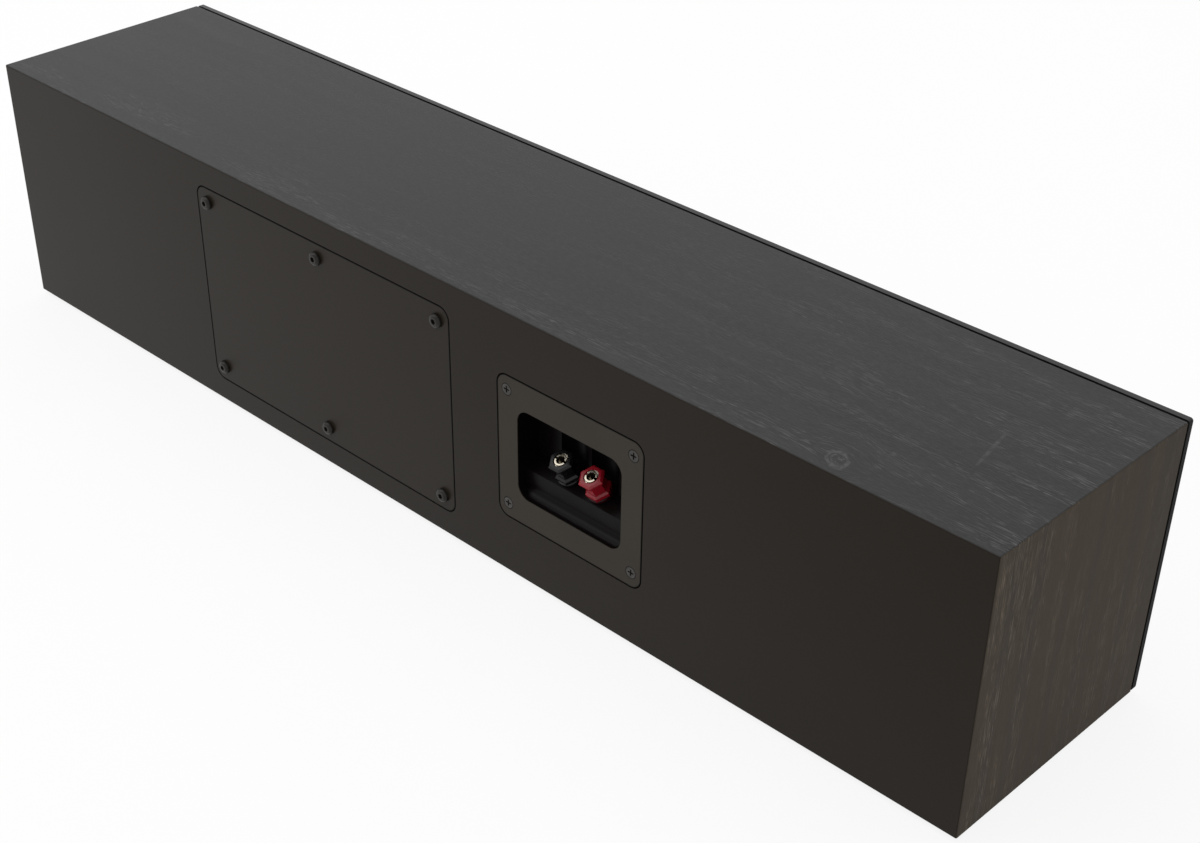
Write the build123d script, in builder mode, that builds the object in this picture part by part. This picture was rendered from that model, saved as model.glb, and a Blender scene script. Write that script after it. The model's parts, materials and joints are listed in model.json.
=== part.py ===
from build123d import *

import os
from math import cos, radians, sin

# Centre channel loudspeaker: a long sealed cabinet with four woofers beside a waveguide tweeter.
# Lengths are in millimetres, angles in degrees. +Z is up, the front faces -Y, the back faces +Y,
# and the feet stand on Z = 0 with the cabinet centred above the origin.

# Cabinet
cabinet_width = 660.0
cabinet_height = 140.0
cabinet_depth = 130.0
wall = 12.0
edge_round = 0.8
brace_thickness = 9.0
brace_rim = 14.0
brace_corner = 12.0

# Feet
foot_height = 2.5
foot_radius = 7.0
foot_round = 0.6
foot_inset = 34.0

# Front plate and baffle board
front_plate_thickness = 3.5
front_plate_corner = 1.5
front_plate_round = 0.8
shadow_gap = 1.5
baffle_thickness = 15.0

# Fits and fasteners
seam = 0.5
fit = 0.1
thread_fit = 0.05
gasket_thickness = 1.5
gasket_margin = 1.0
wood_screw_radius = 1.75
wood_screw_head = 3.1
wood_screw_grip = 7.0
cross_slot_width = 0.8
cross_slot_length = 3.4
cross_slot_depth = 1.0

# Access cover in the back, measured from the middle of the back face towards -X
cover_offset = -61.2
cover_width = 189.3
cover_height = 112.1
cover_corner = 6.0
cover_thickness = 3.0
cover_ledge = 16.0
cover_screw_inset = 8.0
cover_screw_radius = 2.0
cover_screw_head = 3.6
cover_screw_rise = 2.4
cover_screw_round = 1.6
cover_socket_radius = 1.45
cover_socket_depth = 1.4

# Terminal cup in the back, measured the same way
cup_offset = 110.2
cup_width = 90.1
cup_height = 76.5
cup_corner = 6.0
cup_flange = 3.0
cup_wall = 2.5
cup_screw_span = 78.2
cup_screw_rise = 61.5
recess_width = 65.0
recess_height = 47.6
recess_corner = 7.0
recess_depth = 14.0
recess_floor = 0.5
recess_edge_depth = 5.5
recess_edge_rise = 12.8
scallop_radius = 9.0
scallop_depth = 20.0

# Binding posts, which lean out of the recess on its sloping seat
post_spacing = 19.05
post_lean = 60.0
post_set = 7.0
post_radius = 3.0
post_bore = 2.05
post_bore_depth = 18.0
post_slot_width = 1.1
post_slot_depth = 5.0
post_wire_hole = 1.4
post_shoulder_radius = 4.0
post_shoulder_height = 1.2
post_tail = 9.5
collar_radius = 6.2
collar_height = 2.2
collar_web = 0.8
collar_round = 0.5
cap_gap = 0.2
cap_height = 11.4
cap_across_flats = 11.4
cap_waist = 8.8
cap_foot_height = 2.7
cap_head_height = 2.6
cap_chamfer = 0.9
cap_mouth = 3.6
cap_lip = 1.5
insert_radius = 3.7
insert_height = 5.5
tag_thickness = 0.8
tag_radius = 5.0
tag_reach = 13.0
tag_tab_width = 4.8
nut_height = 4.0
nut_across_flats = 10.0

# Drivers on the front
driver_margin_ratio = 6.75
driver_screw_radius = 1.5
driver_screw_head = 2.6
driver_screw_grip = 11.0

# Woofers: radii from the axis, depths back from the face of the baffle board
woofer_radius = 52.0
woofer_flange_width = 6.0
surround_seat_width = 2.6
surround_seat_depth = 0.8
surround_thickness = 1.0
surround_roll = 4.2
basket_rim_wall = 3.1
basket_rim_depth = 4.0
basket_can_wall = 2.5
basket_depth = 31.0
basket_back = 3.0
basket_back_hole = 16.0
basket_windows = 6
basket_window_width = 22.0
basket_window_corner = 2.0
lug_width = 10.0
lug_reach = 9.0
lug_thickness = 2.0
spider_depth = 19.0
spider_radius = 31.0
spider_ledge = 4.0
spider_thickness = 0.6
spider_wave = 0.9
spider_waves = 6
cone_lip = 2.2
cone_thickness = 0.9
cone_neck_radius = 14.6
cone_neck_width = 2.0
cone_depth = 14.0
cone_flare = 1.8
cone_dome_rise = 6.0
coil_former_radius = 12.9
coil_former_wall = 0.4
coil_winding_wall = 0.7
coil_winding_length = 10.0
coil_gap = 0.5
top_plate_radius = 34.0
top_plate_thickness = 5.0
magnet_radius = 36.0
magnet_hole = 20.0
magnet_thickness = 13.0
yoke_thickness = 5.0
plate_chamfer = 1.0

# Tweeter and its waveguide
waveguide_size = 104.0
waveguide_corner = 10.0
waveguide_mouth = 45.0
waveguide_throat = 17.0
waveguide_depth = 14.0
waveguide_boss = 42.0
waveguide_screw_inset = 9.0
dome_radius = 12.8
dome_rise = 4.4
dome_roll_width = 3.4
dome_roll_rise = 0.8
dome_flange = 20.0
dome_thickness = 0.5
tweeter_coil_wall = 0.5
tweeter_coil_length = 5.0
tweeter_gap = 0.5
tweeter_plate_radius = 30.0
tweeter_plate_thickness = 4.0
tweeter_magnet_radius = 33.0
tweeter_magnet_hole = 18.0
tweeter_magnet_thickness = 9.0
tweeter_yoke_thickness = 4.0

# Crossover, carried on the inside of the access cover
board_width = 140.0
board_height = 70.0
board_thickness = 1.6
spacer_height = 8.0
spacer_radius = 3.5
spacer_pin = 1.5
spacer_pin_rise = 2.0
spacer_inset = 6.0
inductor_radius = 17.0
inductor_hole = 8.0
inductor_height = 20.0
inductor_pitch = 44.0
capacitor_radius = 7.0
capacitor_length = 30.0
capacitor_pitch = 17.0
resistor_width = 34.0
resistor_depth = 10.0
resistor_height = 9.0
part_gap = 0.3

# Wadding and leads
wadding_depth = 46.0
wadding_gap = 0.3
wadding_round = 8.0
lead_radius = 1.3
lead_bend = 6.0
lead_reach = 14.0
lead_step = 7.0
lead_inset = 4.5

# Places that follow from the sizes above
total_depth = front_plate_thickness + shadow_gap + cabinet_depth
front_y = -total_depth / 2
baffle_y = front_y + front_plate_thickness
back_y = total_depth / 2
inner_back_y = back_y - wall
inner_width = cabinet_width - 2 * wall
inner_height = cabinet_height - 2 * wall
mid_z = foot_height + cabinet_height / 2
driver_gap = (cabinet_width - waveguide_size - 8 * woofer_radius) / (4 + 2 * driver_margin_ratio)
woofer_inner_x = waveguide_size / 2 + driver_gap + woofer_radius
woofer_pitch = 2 * woofer_radius + driver_gap
woofer_outer_x = woofer_inner_x + woofer_pitch
flange_inner = woofer_radius - woofer_flange_width
seat_inner = flange_inner - surround_seat_width
basket_mouth = seat_inner + basket_rim_wall
woofer_places = (-woofer_outer_x, -woofer_inner_x, woofer_inner_x, woofer_outer_x)
brace_x = woofer_inner_x + woofer_pitch / 2
cover_rebate = cover_thickness + gasket_thickness
cup_rebate = cup_flange + gasket_thickness

back_face = Plane(origin=(0, back_y, mid_z), x_dir=(-1, 0, 0), z_dir=(0, 1, 0))
cup_section = Plane(origin=(-cup_offset, back_y, mid_z), x_dir=(0, -1, 0), z_dir=(-1, 0, 0))
seat_axis = (0, cos(radians(post_lean)), sin(radians(post_lean)))
seat_edge = (-cup_offset, back_y - recess_edge_depth, mid_z - recess_height / 2 + recess_edge_rise)
seat_plane = Plane(origin=seat_edge, x_dir=(-1, 0, 0), z_dir=seat_axis)
post_places = {"negative": (-post_spacing / 2, post_set), "positive": (post_spacing / 2, post_set)}
cover_screw_x = cover_width / 2 - cover_screw_inset
cover_screw_z = cover_height / 2 - cover_screw_inset
cover_screw_places = [
    (cover_offset + side * cover_screw_x, level * cover_screw_z) for side in (-1, 0, 1) for level in (-1, 1)
]
cup_screw_places = [
    (cup_offset + side * cup_screw_span / 2, level * cup_screw_rise / 2)
    for side in (-1, 1)
    for level in (-1, 1)
]
cup_margin = cup_wall + seam
cup_hole = (recess_width + 2 * cup_margin, recess_height + 2 * cup_margin, recess_corner + cup_margin)
cover_hole = (cover_width - 2 * cover_ledge, cover_height - 2 * cover_ledge, cover_corner)
waveguide_screw_span = waveguide_size - 2 * waveguide_screw_inset

os.makedirs("parts", exist_ok=True)


def save(piece, name):
    """Label a finished piece and write it to its own file."""
    piece.part.label = name
    export_step(piece.part, f"parts/{name}.step")


def front_plane(height):
    """Plane across the drivers, at a height in front of the baffle board's face."""
    return Plane(origin=(0, baffle_y - height, mid_z), x_dir=(1, 0, 0), z_dir=(0, -1, 0))


def driver_section(place):
    """Plane through a driver's axis: radius along its x, height in front of the baffle along its y."""
    return Plane(origin=(place, baffle_y, mid_z), x_dir=(1, 0, 0), z_dir=(0, 0, -1))


def driver_axis(place):
    """Axis of the driver at a place across the front."""
    return Axis((place, baffle_y, mid_z), (0, -1, 0))


def across(places):
    """Points on the front plane for a row of driver places."""
    return [(place, 0) for place in places]


def countersunk_screws(plane, places, shank, head, length):
    """Flat-head screws with a cross slot, their heads flush with the plane."""
    with BuildPart() as screws:
        with BuildSketch(plane):
            with Locations(*places):
                Circle(head)
        extrude(amount=shank - head, taper=45)
        with BuildSketch(plane):
            with Locations(*places):
                Circle(shank)
        extrude(amount=-length)
        with BuildSketch(plane):
            with Locations(*places):
                Rectangle(cross_slot_length, cross_slot_width)
                Rectangle(cross_slot_width, cross_slot_length)
        extrude(amount=-cross_slot_depth, mode=Mode.SUBTRACT)
    return screws


# Cabinet: one envelope shared by the wrap and the rear panel, so their eased edges run together
with BuildPart() as cabinet_envelope:
    with BuildSketch(back_face):
        Rectangle(cabinet_width, cabinet_height)
    extrude(amount=-cabinet_depth)
    fillet(cabinet_envelope.edges().filter_by(Axis.Y), edge_round)
    fillet(cabinet_envelope.faces().sort_by(Axis.Y)[-1].edges(), edge_round)

with BuildPart() as mitred_back:
    with BuildSketch(back_face):
        Rectangle(cabinet_width, cabinet_height)
    extrude(amount=-wall, taper=45)

with BuildPart() as cabinet_wrap:
    add(cabinet_envelope.part)
    with BuildSketch(back_face):
        Rectangle(inner_width, inner_height)
    extrude(amount=-cabinet_depth, mode=Mode.SUBTRACT)
    add(mitred_back.part, mode=Mode.SUBTRACT)
save(cabinet_wrap, "cabinet_wrap")

with BuildPart() as rear_panel:
    add(cabinet_envelope.part)
    add(mitred_back.part, mode=Mode.INTERSECT)
    with BuildSketch(back_face):
        with Locations((cover_offset, 0)):
            RectangleRounded(cover_width + 2 * seam, cover_height + 2 * seam, cover_corner + seam)
    extrude(amount=-cover_rebate, mode=Mode.SUBTRACT)
    with BuildSketch(back_face):
        with Locations((cup_offset, 0)):
            RectangleRounded(cup_width + 2 * seam, cup_height + 2 * seam, cup_corner + seam)
    extrude(amount=-cup_rebate, mode=Mode.SUBTRACT)
    with BuildSketch(back_face):
        with Locations((cover_offset, 0)):
            RectangleRounded(*cover_hole)
        with Locations((cup_offset, 0)):
            RectangleRounded(*cup_hole)
    extrude(amount=-wall, mode=Mode.SUBTRACT)
    with BuildSketch(back_face):
        with Locations(*cover_screw_places):
            Circle(cover_screw_radius + fit)
        with Locations(*cup_screw_places):
            Circle(wood_screw_radius + fit)
    extrude(amount=-wall, mode=Mode.SUBTRACT)
save(rear_panel, "rear_panel")

with BuildPart() as baffle_board:
    with BuildSketch(front_plane(0)):
        Rectangle(inner_width, inner_height)
        with Locations(*across(woofer_places)):
            Circle(basket_mouth + seam, mode=Mode.SUBTRACT)
            with PolarLocations(woofer_radius - woofer_flange_width / 2, 4, 45):
                Circle(driver_screw_radius + fit, mode=Mode.SUBTRACT)
        Circle(waveguide_boss + seam, mode=Mode.SUBTRACT)
        with GridLocations(waveguide_screw_span, waveguide_screw_span, 2, 2):
            Circle(driver_screw_radius + fit, mode=Mode.SUBTRACT)
    extrude(amount=-baffle_thickness)
save(baffle_board, "baffle_board")

with BuildPart() as front_plate:
    with BuildSketch(front_plane(front_plate_thickness)):
        RectangleRounded(cabinet_width, cabinet_height, front_plate_corner)
    extrude(amount=-front_plate_thickness)
    fillet(front_plate.faces().sort_by(Axis.Y)[0].edges(), front_plate_round)
    with BuildSketch(front_plane(0)):
        with Locations(*across(woofer_places)):
            Circle(woofer_radius + seam)
        RectangleRounded(waveguide_size + 2 * seam, waveguide_size + 2 * seam, waveguide_corner + seam)
    extrude(amount=front_plate_thickness, mode=Mode.SUBTRACT)
save(front_plate, "front_plate")

for side, place in (("left", -brace_x), ("right", brace_x)):
    brace_front = baffle_y + baffle_thickness
    brace_depth = inner_back_y - brace_front
    brace_plane = Plane(
        origin=(place, brace_front + brace_depth / 2, mid_z), x_dir=(0, 1, 0), z_dir=(1, 0, 0)
    )
    with BuildPart() as brace:
        with BuildSketch(brace_plane):
            Rectangle(brace_depth, inner_height)
            RectangleRounded(
                brace_depth - 2 * brace_rim, inner_height - 2 * brace_rim, brace_corner, mode=Mode.SUBTRACT
            )
        extrude(amount=brace_thickness / 2, both=True)
    save(brace, f"brace_{side}")

with BuildPart() as rubber_feet:
    with BuildSketch(Plane.XY):
        with Locations((0, (back_y + baffle_y + shadow_gap) / 2)):
            with GridLocations(cabinet_width - 2 * foot_inset, cabinet_depth - 2 * foot_inset, 2, 2):
                Circle(foot_radius)
    extrude(amount=foot_height)
    fillet(rubber_feet.faces().filter_by(Axis.Z).group_by(Axis.Z)[0].edges(), foot_round)
save(rubber_feet, "rubber_feet")

# Access cover
with BuildPart() as access_cover:
    with BuildSketch(back_face):
        with Locations((cover_offset, 0)):
            RectangleRounded(cover_width, cover_height, cover_corner)
        with Locations(*cover_screw_places):
            Circle(cover_screw_radius + fit, mode=Mode.SUBTRACT)
    extrude(amount=-cover_thickness)
save(access_cover, "access_cover")

with BuildPart() as cover_gasket:
    with BuildSketch(back_face.offset(-cover_thickness)):
        with Locations((cover_offset, 0)):
            RectangleRounded(cover_width - 2 * gasket_margin, cover_height - 2 * gasket_margin, cover_corner)
            RectangleRounded(*cover_hole, mode=Mode.SUBTRACT)
        with Locations(*cover_screw_places):
            Circle(cover_screw_radius + fit, mode=Mode.SUBTRACT)
    extrude(amount=-gasket_thickness)
save(cover_gasket, "cover_gasket")

with BuildPart() as cover_screws:
    with BuildSketch(back_face):
        with Locations(*cover_screw_places):
            Circle(cover_screw_head)
    extrude(amount=cover_screw_rise)
    fillet(cover_screws.faces().filter_by(Axis.Y).group_by(Axis.Y)[-1].edges(), cover_screw_round)
    with BuildSketch(back_face):
        with Locations(*cover_screw_places):
            Circle(cover_screw_radius)
    extrude(amount=-wall)
    with BuildSketch(back_face.offset(cover_screw_rise)):
        with Locations(*cover_screw_places):
            RegularPolygon(cover_socket_radius, 6)
    extrude(amount=-cover_socket_depth, mode=Mode.SUBTRACT)
save(cover_screws, "cover_screws")

# Terminal cup: a flange with a recess whose floor curves up to the sloping seat of the posts
seat_run = scallop_depth + 2 * cup_wall - recess_edge_depth
seat_climb = seat_run * cos(radians(post_lean)) / sin(radians(post_lean))
with BuildSketch(cup_section) as recess_profile:
    with BuildLine():
        floor_start = (-recess_floor, -recess_height / 2)
        floor_end = (recess_floor, -recess_height / 2)
        wall_start = (recess_edge_depth, recess_edge_depth - recess_floor - recess_height / 2)
        seat_start = (recess_edge_depth, recess_edge_rise - recess_height / 2)
        seat_end = (recess_edge_depth + seat_run, seat_start[1] + seat_climb)
        Line(floor_start, floor_end)
        TangentArc(floor_end, wall_start, tangent=(1, 0))
        ceiling_end = (seat_end[0], recess_height / 2)
        ceiling_start = (-recess_floor, recess_height / 2)
        Polyline(wall_start, seat_start, seat_end, ceiling_end, ceiling_start, floor_start)
    make_face()

with BuildSketch(cup_section) as recess_shell_profile:
    add(recess_profile.sketch_local)
    offset(amount=cup_wall, kind=Kind.INTERSECTION)


def recess_block(margin, profile, start):
    """The recess as a block, grown by a margin on every side and cut to a section profile."""
    width = recess_width + 2 * margin
    height = recess_height + 2 * margin
    scallop_y = back_y - scallop_depth + scallop_radius
    inner_half = (Align.CENTER, Align.MAX)
    with BuildPart() as block:
        with BuildSketch(back_face.offset(start)):
            with Locations((cup_offset, 0)):
                RectangleRounded(width, height, recess_corner + margin)
        extrude(amount=-recess_depth - margin - start)
        with BuildSketch(Plane.XY.offset(mid_z - height / 2)):
            for side in (-1, 1):
                with Locations((-cup_offset + side * post_spacing / 2, scallop_y)):
                    Circle(scallop_radius + margin)
            with Locations((-cup_offset, scallop_y)):
                Rectangle(width, scallop_depth + margin, align=inner_half, mode=Mode.INTERSECT)
        extrude(amount=height)
        extrude(profile.sketch, amount=recess_width, both=True, mode=Mode.INTERSECT)
    return block


recess_space = recess_block(0, recess_profile, recess_floor)
recess_shell = recess_block(cup_wall, recess_shell_profile, 0)

with BuildPart() as terminal_cup:
    with BuildSketch(back_face):
        with Locations((cup_offset, 0)):
            RectangleRounded(cup_width, cup_height, cup_corner)
    extrude(amount=-cup_flange)
    add(recess_shell.part)
    add(recess_space.part, mode=Mode.SUBTRACT)
    with Locations(back_face):
        with Locations(*cup_screw_places):
            CounterSinkHole(wood_screw_radius + fit, wood_screw_head + fit, cup_flange, 90)
    with BuildSketch(seat_plane):
        with Locations(*post_places.values()):
            Circle(post_radius + fit)
    extrude(amount=-2 * cup_wall, mode=Mode.SUBTRACT)
save(terminal_cup, "terminal_cup")

with BuildPart() as cup_gasket:
    with BuildSketch(back_face.offset(-cup_flange)):
        with Locations((cup_offset, 0)):
            RectangleRounded(cup_width - 2 * gasket_margin, cup_height - 2 * gasket_margin, cup_corner)
            RectangleRounded(*cup_hole, mode=Mode.SUBTRACT)
        with Locations(*cup_screw_places):
            Circle(wood_screw_radius + fit, mode=Mode.SUBTRACT)
    extrude(amount=-gasket_thickness)
save(cup_gasket, "cup_gasket")

cup_screws = countersunk_screws(
    back_face, cup_screw_places, wood_screw_radius, wood_screw_head, cup_rebate + wood_screw_grip
)
save(cup_screws, "cup_screws")

# Binding posts: heights along the leaning axis, from the seat
cap_base = collar_height + cap_gap
post_top = cap_base + cap_height
insert_base = post_top - cap_lip - insert_height
nut_top = -cup_wall - tag_thickness
for polarity, place in post_places.items():
    with BuildPart() as post:
        with BuildSketch(seat_plane.offset(-post_tail)):
            with Locations(place):
                Circle(post_radius)
        extrude(amount=post_tail + post_top)
        with BuildSketch(seat_plane.offset(collar_web)):
            with Locations(place):
                Circle(post_shoulder_radius)
        extrude(amount=post_shoulder_height)
        with BuildSketch(seat_plane.offset(post_top)):
            with Locations(place):
                Circle(post_bore)
        extrude(amount=-post_bore_depth, mode=Mode.SUBTRACT)
        with BuildSketch(seat_plane.offset(post_top)):
            with Locations(place):
                Rectangle(2 * post_radius, post_slot_width)
        extrude(amount=-post_slot_depth, mode=Mode.SUBTRACT)
        with BuildSketch(Plane(origin=seat_edge, x_dir=(0, seat_axis[2], -seat_axis[1]), z_dir=(-1, 0, 0))):
            with Locations((-place[1], cap_base + post_wire_hole)):
                Circle(post_wire_hole)
        extrude(amount=post_spacing, both=True, mode=Mode.SUBTRACT)
    save(post, f"{polarity}_post")

    with BuildPart() as collar:
        with BuildSketch(seat_plane):
            with Locations(place):
                Circle(collar_radius)
                Circle(post_radius + fit, mode=Mode.SUBTRACT)
        extrude(amount=collar_height)
        fillet(collar.edges().filter_by(GeomType.CIRCLE).sort_by(SortBy.RADIUS)[-2:], collar_round)
        with BuildSketch(seat_plane.offset(collar_height)):
            with Locations(place):
                Circle(post_shoulder_radius + fit)
        extrude(amount=collar_web - collar_height, mode=Mode.SUBTRACT)
    save(collar, f"{polarity}_collar")

    with BuildPart() as cap:
        with BuildSketch(seat_plane.offset(cap_base)):
            with Locations(place):
                RegularPolygon(cap_across_flats / 2, 6, major_radius=False)
        extrude(amount=cap_foot_height)
        with BuildSketch(seat_plane.offset(post_top)):
            with Locations(place):
                RegularPolygon(cap_across_flats / 2, 6, major_radius=False)
        extrude(amount=-cap_head_height)
        levels = cap.faces().filter_by(seat_plane).sort_by(Axis(seat_edge, seat_axis))
        rims = [edge for level in levels[1:] for edge in level.edges()]
        chamfer(rims, cap_chamfer)
        with BuildSketch(seat_plane.offset(cap_base)):
            with Locations(place):
                RegularPolygon(cap_waist / 2, 6, major_radius=False)
        extrude(amount=cap_height)
        with BuildSketch(seat_plane.offset(post_top)):
            with Locations(place):
                Circle(cap_mouth)
        extrude(amount=-cap_lip, mode=Mode.SUBTRACT)
        with BuildSketch(seat_plane.offset(cap_base)):
            with Locations(place):
                Circle(insert_radius + thread_fit)
        extrude(amount=cap_height - cap_lip, mode=Mode.SUBTRACT)
    save(cap, f"{polarity}_cap")

    with BuildPart() as cap_insert:
        with BuildSketch(seat_plane.offset(insert_base)):
            with Locations(place):
                Circle(insert_radius)
                Circle(post_radius + thread_fit, mode=Mode.SUBTRACT)
        extrude(amount=insert_height - thread_fit)
    save(cap_insert, f"{polarity}_cap_insert")

with BuildPart() as solder_tags:
    with BuildSketch(seat_plane.offset(-cup_wall)):
        for place in post_places.values():
            with Locations(place):
                Circle(tag_radius)
            with Locations((place[0], place[1] + tag_reach / 2)):
                Rectangle(tag_tab_width, tag_reach)
            with Locations(place):
                Circle(post_radius + fit, mode=Mode.SUBTRACT)
    extrude(amount=-tag_thickness)
save(solder_tags, "solder_tags")

with BuildPart() as post_nuts:
    with BuildSketch(seat_plane.offset(nut_top)):
        with Locations(*post_places.values()):
            RegularPolygon(nut_across_flats / 2, 6, major_radius=False)
            Circle(post_radius + fit, mode=Mode.SUBTRACT)
    extrude(amount=-nut_height)
save(post_nuts, "post_nuts")

# Woofers
driver_hole_radius = driver_screw_radius + fit
driver_head_radius = driver_screw_head + fit
roll_middle = seat_inner - surround_roll + surround_thickness
cone_radius = roll_middle - surround_roll + surround_thickness
can_radius = spider_radius + basket_can_wall
lip_height = -surround_seat_depth
neck_height = lip_height - cone_depth
former_top = neck_height - cone_thickness
former_outer = coil_former_radius + coil_former_wall
winding_outer = former_outer + coil_winding_wall
plate_middle = -basket_depth - top_plate_thickness / 2
window_inner = can_radius + basket_can_wall / 2
window_outer = seat_inner - basket_can_wall / 2

for number, place in enumerate(woofer_places, start=1):
    with BuildPart() as frame:
        with BuildSketch(driver_section(place)):
            with BuildLine():
                Polyline(
                    (woofer_radius, 0),
                    (woofer_radius, front_plate_thickness),
                    (flange_inner, front_plate_thickness),
                    (flange_inner, lip_height),
                    (seat_inner, lip_height),
                    (seat_inner, -basket_rim_depth),
                    (spider_radius, -spider_depth),
                    (spider_radius - spider_ledge, -spider_depth),
                    (spider_radius - spider_ledge, -spider_depth - basket_can_wall),
                    (spider_radius, -spider_depth - basket_can_wall),
                    (spider_radius, basket_back - basket_depth),
                    (basket_back_hole, basket_back - basket_depth),
                    (basket_back_hole, -basket_depth),
                    (can_radius, -basket_depth),
                    (can_radius, -spider_depth - basket_can_wall),
                    (basket_mouth, -basket_rim_depth),
                    (basket_mouth, 0),
                    close=True,
                )
            make_face()
        revolve(axis=driver_axis(place))
        with BuildSketch(front_plane(-basket_depth)):
            with Locations((place, 0)):
                with PolarLocations((window_inner + window_outer) / 2, basket_windows):
                    RectangleRounded(window_outer - window_inner, basket_window_width, basket_window_corner)
        extrude(amount=basket_depth - basket_rim_depth, mode=Mode.SUBTRACT)
        with BuildSketch(front_plane(-basket_depth)):
            with Locations((place, can_radius - basket_can_wall)):
                Rectangle(lug_width, basket_can_wall + lug_reach, align=(Align.CENTER, Align.MIN))
        extrude(amount=lug_thickness)
        with Locations(front_plane(front_plate_thickness)):
            with Locations((place, 0)):
                with PolarLocations(woofer_radius - woofer_flange_width / 2, 4, 45):
                    CounterSinkHole(driver_hole_radius, driver_head_radius, front_plate_thickness, 90)
    save(frame, f"woofer_{number}_frame")

    with BuildPart() as surround:
        with BuildSketch(driver_section(place)):
            with Locations((roll_middle, lip_height)):
                Circle(surround_roll)
                Circle(surround_roll - surround_thickness, mode=Mode.SUBTRACT)
                upper_half = (Align.CENTER, Align.MIN)
                Rectangle(4 * surround_roll, 2 * surround_roll, align=upper_half, mode=Mode.INTERSECT)
            with Locations((seat_inner, lip_height)):
                Rectangle(surround_seat_width - fit, surround_thickness, align=(Align.MIN, Align.MIN))
            with Locations((cone_radius, lip_height)):
                Rectangle(cone_lip, surround_thickness, align=(Align.MAX, Align.MIN))
        revolve(axis=driver_axis(place))
    save(surround, f"woofer_{number}_surround")

    with BuildPart() as cone:
        with BuildSketch(driver_section(place)):
            with BuildLine():
                lip_outer = Vector(cone_radius, lip_height)
                lip_inner = Vector(cone_radius - cone_lip, lip_height)
                neck = Vector(cone_neck_radius, neck_height)
                flare = (lip_inner + neck) / 2 + Vector(0, cone_flare)
                dome = Vector(0, neck_height + cone_dome_rise)
                back = Vector(0, -cone_thickness)
                neck_inner = neck + back - Vector(cone_neck_width, 0)
                Line(lip_outer, lip_inner)
                ThreePointArc(lip_inner, flare, neck)
                TangentArc(dome, neck, tangent=(1, 0))
                Line(dome, dome + back)
                TangentArc(dome + back, neck_inner, tangent=(1, 0))
                Line(neck_inner, neck + back)
                ThreePointArc(neck + back, flare + back, lip_inner + back)
                Polyline(lip_inner + back, lip_outer + back, lip_outer)
            make_face()
        revolve(axis=driver_axis(place))
    save(cone, f"woofer_{number}_cone")

    with BuildPart() as voice_coil:
        with BuildSketch(driver_section(place)):
            with BuildLine():
                winding_top = plate_middle + coil_winding_length / 2
                winding_foot = plate_middle - coil_winding_length / 2
                Polyline(
                    (coil_former_radius, former_top),
                    (former_outer, former_top),
                    (former_outer, winding_top),
                    (winding_outer, winding_top),
                    (winding_outer, winding_foot),
                    (coil_former_radius, winding_foot),
                    close=True,
                )
            make_face()
        revolve(axis=driver_axis(place))
    save(voice_coil, f"woofer_{number}_voice_coil")

with BuildPart() as woofer_spiders:
    for place in woofer_places:
        with BuildSketch(driver_section(place)):
            with BuildLine():
                ledge_edge = spider_radius - spider_ledge
                wave_start = former_outer + fit + cone_lip
                wave_width = (ledge_edge - wave_start) / spider_waves
                wave_points = [wave_start + index * wave_width for index in range(spider_waves + 1)]
                for level in (-spider_depth, spider_thickness - spider_depth):
                    Line((former_outer + fit, level), (wave_start, level))
                    for index in range(spider_waves):
                        crest = level + spider_wave * (1 if index % 2 else -1)
                        ThreePointArc(
                            (wave_points[index], level),
                            ((wave_points[index] + wave_points[index + 1]) / 2, crest),
                            (wave_points[index + 1], level),
                        )
                    Line((ledge_edge, level), (spider_radius - fit, level))
                for radius in (former_outer + fit, spider_radius - fit):
                    Line((radius, -spider_depth), (radius, spider_thickness - spider_depth))
            make_face()
        revolve(axis=driver_axis(place))
save(woofer_spiders, "woofer_spiders")

magnet_top = basket_depth + top_plate_thickness
yoke_top = magnet_top + magnet_thickness
with BuildPart() as woofer_top_plates:
    with BuildSketch(front_plane(-basket_depth)):
        with Locations(*across(woofer_places)):
            Circle(top_plate_radius)
            Circle(winding_outer + coil_gap, mode=Mode.SUBTRACT)
    extrude(amount=-top_plate_thickness)
save(woofer_top_plates, "woofer_top_plates")

with BuildPart() as woofer_magnets:
    with BuildSketch(front_plane(-magnet_top)):
        with Locations(*across(woofer_places)):
            Circle(magnet_radius)
            Circle(magnet_hole, mode=Mode.SUBTRACT)
    extrude(amount=-magnet_thickness)
save(woofer_magnets, "woofer_magnets")

with BuildPart() as woofer_yokes:
    with BuildSketch(front_plane(-yoke_top)):
        with Locations(*across(woofer_places)):
            Circle(top_plate_radius)
    extrude(amount=-yoke_thickness)
    chamfer(woofer_yokes.faces().filter_by(Axis.Y).group_by(Axis.Y)[-1].edges(), plate_chamfer)
    with BuildSketch(front_plane(-yoke_top)):
        with Locations(*across(woofer_places)):
            Circle(coil_former_radius - coil_gap)
    extrude(amount=yoke_top - basket_depth)
save(woofer_yokes, "woofer_yokes")

woofer_screw_places = [
    (place + across_x, along_z)
    for place in woofer_places
    for across_x, along_z in [
        tuple(Vector(woofer_radius - woofer_flange_width / 2, 0).rotate(Axis.Z, angle))[:2]
        for angle in (45, 135, 225, 315)
    ]
]
woofer_screws = countersunk_screws(
    front_plane(front_plate_thickness),
    woofer_screw_places,
    driver_screw_radius,
    driver_screw_head,
    front_plate_thickness + driver_screw_grip,
)
save(woofer_screws, "woofer_screws")

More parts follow.
